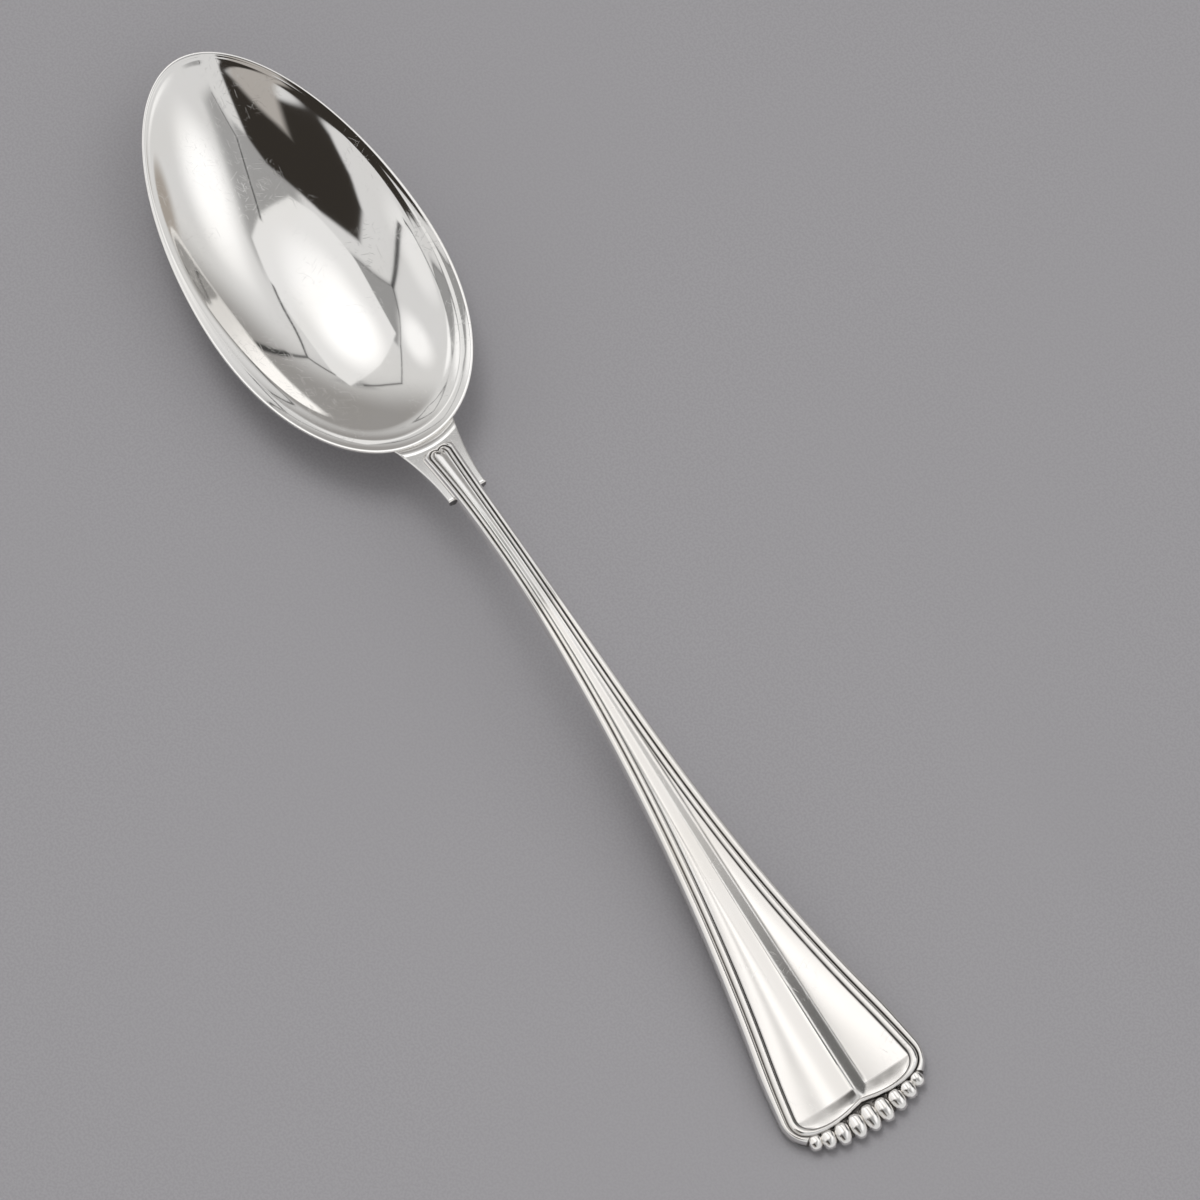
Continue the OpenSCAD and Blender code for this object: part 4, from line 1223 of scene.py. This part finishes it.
class SPOON_OT_make_stem(bpy.types.Operator):
    """Make the core of the stem and the handle"""
    bl_idname = "spoon.make_stem"
    bl_label = "Stem"

    def execute(self, context):
        mesh = stem_mesh(SpoonForms(context.scene))
        add_piece(mesh, shared_material("thread"), "handle_silver", "stem")
        return {"FINISHED"}


class SPOON_OT_make_panel(bpy.types.Operator):
    """Make the panel with its flutes and ridge"""
    bl_idname = "spoon.make_panel"
    bl_label = "Fluted panel"

    def execute(self, context):
        mesh = panel_mesh(SpoonForms(context.scene))
        add_piece(mesh, shared_material("flute"), "satin_silver", "fluted_panel")
        return {"FINISHED"}


class SPOON_OT_make_threads(bpy.types.Operator):
    """Make the inner and the outer thread"""
    bl_idname = "spoon.make_threads"
    bl_label = "Threads"

    def execute(self, context):
        forms = SpoonForms(context.scene)
        add_piece(inner_thread_mesh(forms), shared_material("thread"), "handle_silver", "inner_thread")
        add_piece(outer_thread_mesh(forms), shared_material("thread"), "handle_silver", "outer_thread")
        return {"FINISHED"}


class SPOON_OT_make_lobes(bpy.types.Operator):
    """Make the row of lobes and the darts between them"""
    bl_idname = "spoon.make_lobes"
    bl_label = "Lobes"

    def execute(self, context):
        material = shared_material("lobe")
        mesh = lobe_mesh(context, SpoonForms(context.scene), material)
        add_piece(mesh, material, "lobe_silver", *(f"lobe_{n}" for n in range(1, 10)))
        return {"FINISHED"}


# Stage

def camera_axes(settings):
    """Directions to the right of the camera, above it and behind it."""
    yaw, rise = settings.yaw, settings.elevation
    right = Vector((math.cos(yaw), math.sin(yaw), 0))
    ahead = Vector((-math.sin(yaw), math.cos(yaw), 0))
    upright = Vector((0, 0, 1))
    above = ahead * math.sin(rise) + upright * math.cos(rise)
    behind = upright * math.sin(rise) - ahead * math.cos(rise)
    return right, above, behind


def make_camera(scene, settings):
    """A camera that looks down on the spoon, which lies across the picture."""
    right, above, behind = camera_axes(settings)
    looked_at = right * settings.pan_x + above * settings.pan_y
    data = bpy.data.cameras.new("Camera")
    data.lens = settings.lens
    data.sensor_width = 36.0
    data.clip_start, data.clip_end = 0.05, 50.0
    camera = bpy.data.objects.new("Camera", data)
    turn = Matrix((right, above, behind)).transposed()
    camera.matrix_world = Matrix.Translation(looked_at + behind * settings.distance) @ turn.to_4x4()
    scene.collection.objects.link(camera)
    scene.camera = camera


def floor_material(settings):
    """Smooth pale board with a fine grain, seen through from below."""
    material, tree = empty_material("Pale floor board")
    speck = 0.07
    place = node(tree, "ShaderNodeTexCoord").outputs["Object"]
    grain = node(tree, "ShaderNodeTexNoise", {"Vector": place, "Scale": 2600.0, "Detail": 0.0})
    cloud = node(tree, "ShaderNodeTexNoise", {"Vector": place, "Scale": 14.0, "Detail": 1.0})
    colour = rgba(settings.floor)
    dark = rgba([c * (1 - speck) for c in settings.floor])
    light = rgba([c * (1 + speck) for c in settings.floor])
    tone = blend(tree, ramp(tree, grain.outputs["Fac"], 0.3, 0.7), dark, light)
    tone = blend(tree, ramp(tree, cloud.outputs["Fac"], 0.4, 0.7, 0.35, 0.65), tone, colour)
    board = node(tree, "ShaderNodeBsdfPrincipled", {"Base Color": tone, "Roughness": 0.7})
    clear = node(tree, "ShaderNodeBsdfTransparent")
    below = node(tree, "ShaderNodeNewGeometry").outputs["Backfacing"]
    both = node(tree, "ShaderNodeMixShader", {0: below, 1: board.outputs[0], 2: clear.outputs[0]})
    node(tree, "ShaderNodeOutputMaterial", {"Surface": both.outputs[0]})
    return material


def flat_sheet(scene, name, corners, material):
    """An object of one flat face."""
    mesh = bpy.data.meshes.new(name)
    mesh.from_pydata(corners, [], [tuple(range(len(corners)))])
    mesh.materials.append(material)
    sheet = bpy.data.objects.new(name, mesh)
    scene.collection.objects.link(sheet)
    return sheet


def make_floor(scene, settings):
    """A wide board, a hair below the spoon."""
    half, level = 4.0, -2e-5
    corners = [(x * half, y * half, level) for x, y in ((-1, -1), (1, -1), (1, 1), (-1, 1))]
    floor = flat_sheet(scene, "floor", corners, floor_material(settings))


def graded(tree, axis, stops, level):
    """Light that changes along one axis of the frame, by stops of place and share of the level."""
    place = node(tree, "ShaderNodeTexCoord").outputs["Object"]
    first, last = stops[0][0], stops[-1][0]
    along = node(tree, "ShaderNodeSeparateXYZ", {0: place}).outputs[axis]
    steps = node(tree, "ShaderNodeValToRGB", {0: ramp(tree, along, first, last, kind="LINEAR")})
    marks = steps.color_ramp.elements
    marks.remove(marks[0])
    marks[0].position = 1.0
    for at, share_of in stops[:-1]:
        marks.new((at - first) / (last - first)).color = (share_of,) * 3 + (1.0,)
    marks[len(marks) - 1].color = (stops[-1][1],) * 3 + (1.0,)
    return calc(tree, "MULTIPLY", steps.outputs["Color"], level)


# Corners of the two cards, and the places across them with the share of the level that they shine with
WHITE_CORNERS = [(-0.004, 0.068, 0.088), (0.112, 0.068, 0.088), (0.112, 0.012, 0.088),
                 (0.112, -0.085, 0.042), (-0.004, -0.085, 0.042), (-0.004, 0.012, 0.088)]
WHITE_STOPS = [(-0.085, 0.62), (-0.05, 0.68), (-0.03, 0.72), (-0.016, 0.74), (-0.003, 0.96),
               (0.006, 0.96), (0.014, 0.5), (0.019, 0.5), (0.028, 1.0), (0.037, 0.86), (0.056, 0.6),
               (0.068, 0.5)]
DARK_CORNERS = [(0.005, 0.050, 0.008), (0.118, 0.050, 0.008), (0.118, 0.086, 0.084),
                (0.005, 0.086, 0.084)]
DARK_STOPS = [(0.005, 0.62), (0.062, 0.5), (0.076, 0.24), (0.086, 0.1), (0.118, 0.1)]


def make_cards(scene, settings):
    """Two long cards over the handle, a white and a dark one, that only shine in the polished metal."""
    for name, level, axis, corners, stops in (
        ("white card", settings.white_card, "Y", WHITE_CORNERS, WHITE_STOPS),
        ("dark card", settings.dark_card, "X", DARK_CORNERS, DARK_STOPS),
    ):
        material, tree = empty_material(name)
        shine = node(tree, "ShaderNodeEmission", {"Color": (1.0, 0.98, 0.96, 1.0),
                                                  "Strength": graded(tree, axis, stops, level)})
        node(tree, "ShaderNodeOutputMaterial", {"Surface": shine.outputs[0]})
        material.cycles.emission_sampling = "NONE"
        card = flat_sheet(scene, name, corners, material)
        card.visible_camera = card.visible_diffuse = card.visible_shadow = False
        card.visible_transmission = card.visible_volume_scatter = False


def tent_group(settings):
    """The light tent as a colour for each direction.

    Places are degrees from the point overhead, to the right and upwards in the picture.
    """
    group, given, made = new_group(
        "Light tent", "ShaderNodeTree",
        [("Vector", "Vector", None), ("Wall", "Float", 0.7), ("Lamp", "Float", 2.0), ("Side", "Float", 2.0)],
        [("Color", "Color")])
    turned = node(group, "ShaderNodeVectorRotate", {"Vector": given["Vector"], "Angle": -settings.yaw},
                  rotation_type="Z_AXIS")
    at = node(group, "ShaderNodeSeparateXYZ", {0: turned.outputs[0]}).outputs
    near_pole = 0.9999
    height = calc(group, "MINIMUM", calc(group, "MAXIMUM", at["Z"], -near_pole), near_pole)
    off = calc(group, "MULTIPLY", calc(group, "ARCCOSINE", height), 180 / math.pi)
    squared = calc(group, "MULTIPLY", height, height)
    level = calc(group, "SQRT", calc(group, "MULTIPLY_ADD", squared, -1.0, 1.0))
    stretch = calc(group, "DIVIDE", off, level)
    y = calc(group, "MULTIPLY", at["Y"], stretch)
    place = node(group, "ShaderNodeCombineXYZ", {"X": calc(group, "MULTIPLY", at["X"], stretch), "Y": y,
                                                 "Z": 1.0}).outputs[0]

    def beyond(nx, ny, edge):
        """How many degrees a direction lies past a line."""
        return node(group, "ShaderNodeVectorMath", {0: place, 1: (nx, ny, -edge)},
                    operation="DOT_PRODUCT").outputs["Value"]

    def patch(corners, soft):
        """A mask inside a convex outline whose corners run anticlockwise."""
        reach = None
        for (ax, ay), (bx, by) in zip(corners, corners[1:] + corners[:1]):
            size = math.hypot(bx - ax, by - ay)
            nx, ny = (by - ay) / size, (ax - bx) / size
            edge = beyond(nx, ny, nx * ax + ny * ay)
            reach = edge if reach is None else calc(group, "MAXIMUM", reach, edge)
        return ramp(group, reach, soft, -soft)

    def glow(cx, cy, rx, ry, inner, outer):
        """A mask that fades from an oval's middle outwards."""
        sized = node(group, "ShaderNodeVectorMath", {0: place, 1: (1 / rx, 1 / ry, 0.0)},
                     operation="MULTIPLY")
        reach = node(group, "ShaderNodeVectorMath", {0: sized.outputs[0], 1: (cx / rx, cy / ry, 0.0)},
                     operation="DISTANCE").outputs["Value"]
        return ramp(group, reach, outer, inner)

    def seams(lines):
        """A mask along short straight seams, each given by its two ends and half its width."""
        nearest = None
        for ax, ay, bx, by, width in lines:
            size = math.hypot(bx - ax, by - ay)
            tx, ty = (bx - ax) / size, (by - ay) / size
            beside = calc(group, "ABSOLUTE", beyond(-ty, tx, -ty * ax + tx * ay))
            run = calc(group, "ABSOLUTE", beyond(tx, ty, tx * (ax + bx) / 2 + ty * (ay + by) / 2))
            reach = calc(group, "MAXIMUM", beside, calc(group, "SUBTRACT", run, size / 2))
            reach = calc(group, "SUBTRACT", reach, width)
            nearest = reach if nearest is None else calc(group, "MINIMUM", nearest, reach)
        soft = 0.4
        return ramp(group, nearest, soft, -soft)

    def grey(value, warm=0.0):
        """A level of grey, turned towards amber by the share that warm gives."""
        return (value * (1 + warm), value, value * (1 - warm), 1.0)

    def even(label):
        """A grey with the level that an input gives."""
        return node(group, "ShaderNodeCombineXYZ", dict.fromkeys("XYZ", given[label])).outputs[0]

    far_low, far_high, far_share = 44.0, 70.0, 0.95
    colour = blend(group, ramp(group, y, far_low, far_high, 0.0, far_share), even("Wall"), grey(0.3, 0.03))
    # Grey gaps round the lamp
    behind = patch([(-40, 26), (-24, 36), (-4, 50), (20, 40), (20, 58), (-8, 56), (-33, 51)], 2.0)
    left = patch([(-50, 5), (-26, 5), (-26, 20), (-36, 30), (-44, 18)], 1.5)
    front = patch([(-22, -12), (4, -24), (8, 14), (-3, 8), (-14, 0)], 2.0)
    right = patch([(8, 16), (4, -19), (13, -34), (24, -26), (20, 22), (17, 28)], 3.5)
    # A grey patch low on the right, a bright sheet low behind and two bright patches low on the left
    low_right = glow(74, 50, 8, 22, 0.7, 1.3)
    low_behind = patch([(-36, 74), (-30, 110), (-64, 110), (-60, 66)], 3.0)
    low_left = glow(-51, 26, 1, 1.3, 4, 13)
    lowest_left = glow(-75, -5, 1, 1.6, 3, 12)
    for mask, tone in ((behind, grey(0.36)), (left, grey(0.33)), (front, grey(0.36)),
                       (right, grey(0.37)), (low_right, grey(0.36, 0.1)), (low_behind, grey(1.05)),
                       (low_left, grey(1.05)), (lowest_left, grey(0.88))):
        colour = blend(group, mask, colour, tone)
    side = patch([(22, -36), (46, -28), (58, 2), (60, 28), (50, 47), (21, 44)], 8.0)
    soft = blend(group, glow(38, 17, 1, 1.5, 6, 25), grey(0.72), even("Side"))
    colour = blend(group, side, colour, soft)
    lamp = patch([(-11.6, -1.6), (7.7, 12.4), (16.8, 22), (13.4, 38), (6.5, 53), (-3.6, 58.6),
                  (-20.6, 41.4), (-38.4, 27), (-30, 6), (-20, -0.8)], 0.5)
    bright = blend(group, glow(-11, 29, 1, 1, 6, 21), grey(0.86), even("Lamp"))
    colour = blend(group, lamp, colour, bright)
    opening = patch([(-53, -43), (-1.5, -47), (-2.7, -20.5), (-8, -11.5), (-24, -3), (-40, -1.5), (-53, -13),
                     (-57, -24), (-57, -36)], 1.2)
    colour = blend(group, opening, colour, grey(0.03, 0.15))
    wedge = patch([(-38, -52), (-20, -66), (-8, -47), (-20, -38), (-31, -31)], 2.5)
    colour = blend(group, wedge, colour, grey(0.42, 0.06))
    ink = seams([(8.4, 14, 5, -17, 0.45), (5, -17, 12.5, -33, 0.3), (-48.6, 5.5, -73, -12, 0.7),
                 (-48.6, 5.5, -45, 15.6, 0.25), (-45, 15.6, -38, 29.3, 0.2), (-38, 29.3, -31, 50, 0.3),
                 (-31, 50, -9.5, 54, 0.4), (-30, 5.6, -48.6, 5.5, 0.15), (14.6, 31, 18.2, 52.3, 0.5),
                 (5.7, 53.7, 18.2, 52.3, 0.4), (18.2, 52.3, 30, 59.5, 0.5), (30, 59.5, 44, 70, 0.9)])
    colour = blend(group, ink, colour, grey(0.03))
    group.links.new(colour, made["Color"])
    return group


def make_light(scene, settings):
    """The light tent as the world. Mirrored in metal, its lamp is dimmer than on the floor."""
    world = bpy.data.worlds.new("Light tent")
    scene.world = world
    world.use_nodes = True
    tree = world.node_tree
    tree.nodes.clear()
    way = node(tree, "ShaderNodeTexCoord").outputs["Generated"]
    mirrored = node(tree, "ShaderNodeLightPath").outputs["Is Glossy Ray"]
    lamp = ramp(tree, mirrored, 0.0, 1.0, settings.lamp, settings.lamp_seen, "LINEAR")
    tent = node(tree, "ShaderNodeGroup", {"Vector": way, "Wall": settings.tent, "Lamp": lamp,
                                          "Side": settings.side}, node_tree=tent_group(settings))
    glow = node(tree, "ShaderNodeBackground", {"Color": tent.outputs["Color"], "Strength": 1.0})
    node(tree, "ShaderNodeOutputWorld", {"Surface": glow.outputs[0]})


class SPOON_OT_make_stage(bpy.types.Operator):
    """Make the floor, the light tent and the camera"""
    bl_idname = "spoon.make_stage"
    bl_label = "Stage"

    def execute(self, context):
        settings = context.scene.spoon_stage
        make_floor(context.scene, settings)
        make_cards(context.scene, settings)
        make_light(context.scene, settings)
        make_camera(context.scene, settings)
        context.scene.view_settings.view_transform = "Standard"
        return {"FINISHED"}


class SPOON_PT_pieces(bpy.types.Panel):
    """Lists the pieces of the spoon in the order in which they are made"""
    bl_label = "Table spoon"
    bl_idname = "SPOON_PT_pieces"
    bl_space_type = "VIEW_3D"
    bl_region_type = "UI"
    bl_category = "Spoon"

    def draw(self, context):
        for maker in MAKERS:
            self.layout.operator(maker.bl_idname)
        for name in SETTINGS:
            box = self.layout.box()
            box.label(text=SETTINGS[name].__doc__)
            for key in SETTINGS[name].__annotations__:
                box.prop(getattr(context.scene, name), key)


SETTINGS = {
    "spoon_bowl": SpoonBowlSizes, "spoon_neck": SpoonNeckSizes, "spoon_handle": SpoonHandleSizes,
    "spoon_threads": SpoonThreadSizes, "spoon_panel": SpoonPanelSizes, "spoon_lobes": SpoonLobeSizes,
    "spoon_finish": SpoonFinish, "spoon_stage": SpoonStageSettings,
}
MAKERS = (SPOON_OT_make_bowl, SPOON_OT_make_heel_drop, SPOON_OT_make_plate, SPOON_OT_make_stem,
          SPOON_OT_make_panel, SPOON_OT_make_threads, SPOON_OT_make_lobes, SPOON_OT_make_stage)


def register():
    for kind in (*SETTINGS.values(), *MAKERS, SPOON_PT_pieces):
        bpy.utils.register_class(kind)
    for name, kind in SETTINGS.items():
        setattr(bpy.types.Scene, name, bpy.props.PointerProperty(type=kind))


def unregister():
    for name in SETTINGS:
        delattr(bpy.types.Scene, name)
    for kind in (SPOON_PT_pieces, *MAKERS[::-1], *reversed(SETTINGS.values())):
        bpy.utils.unregister_class(kind)


def main():
    register()
    for maker in MAKERS:
        module, call = maker.bl_idname.split(".")
        getattr(getattr(bpy.ops, module), call)()
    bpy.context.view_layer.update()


if __name__ == "__main__":
    main()
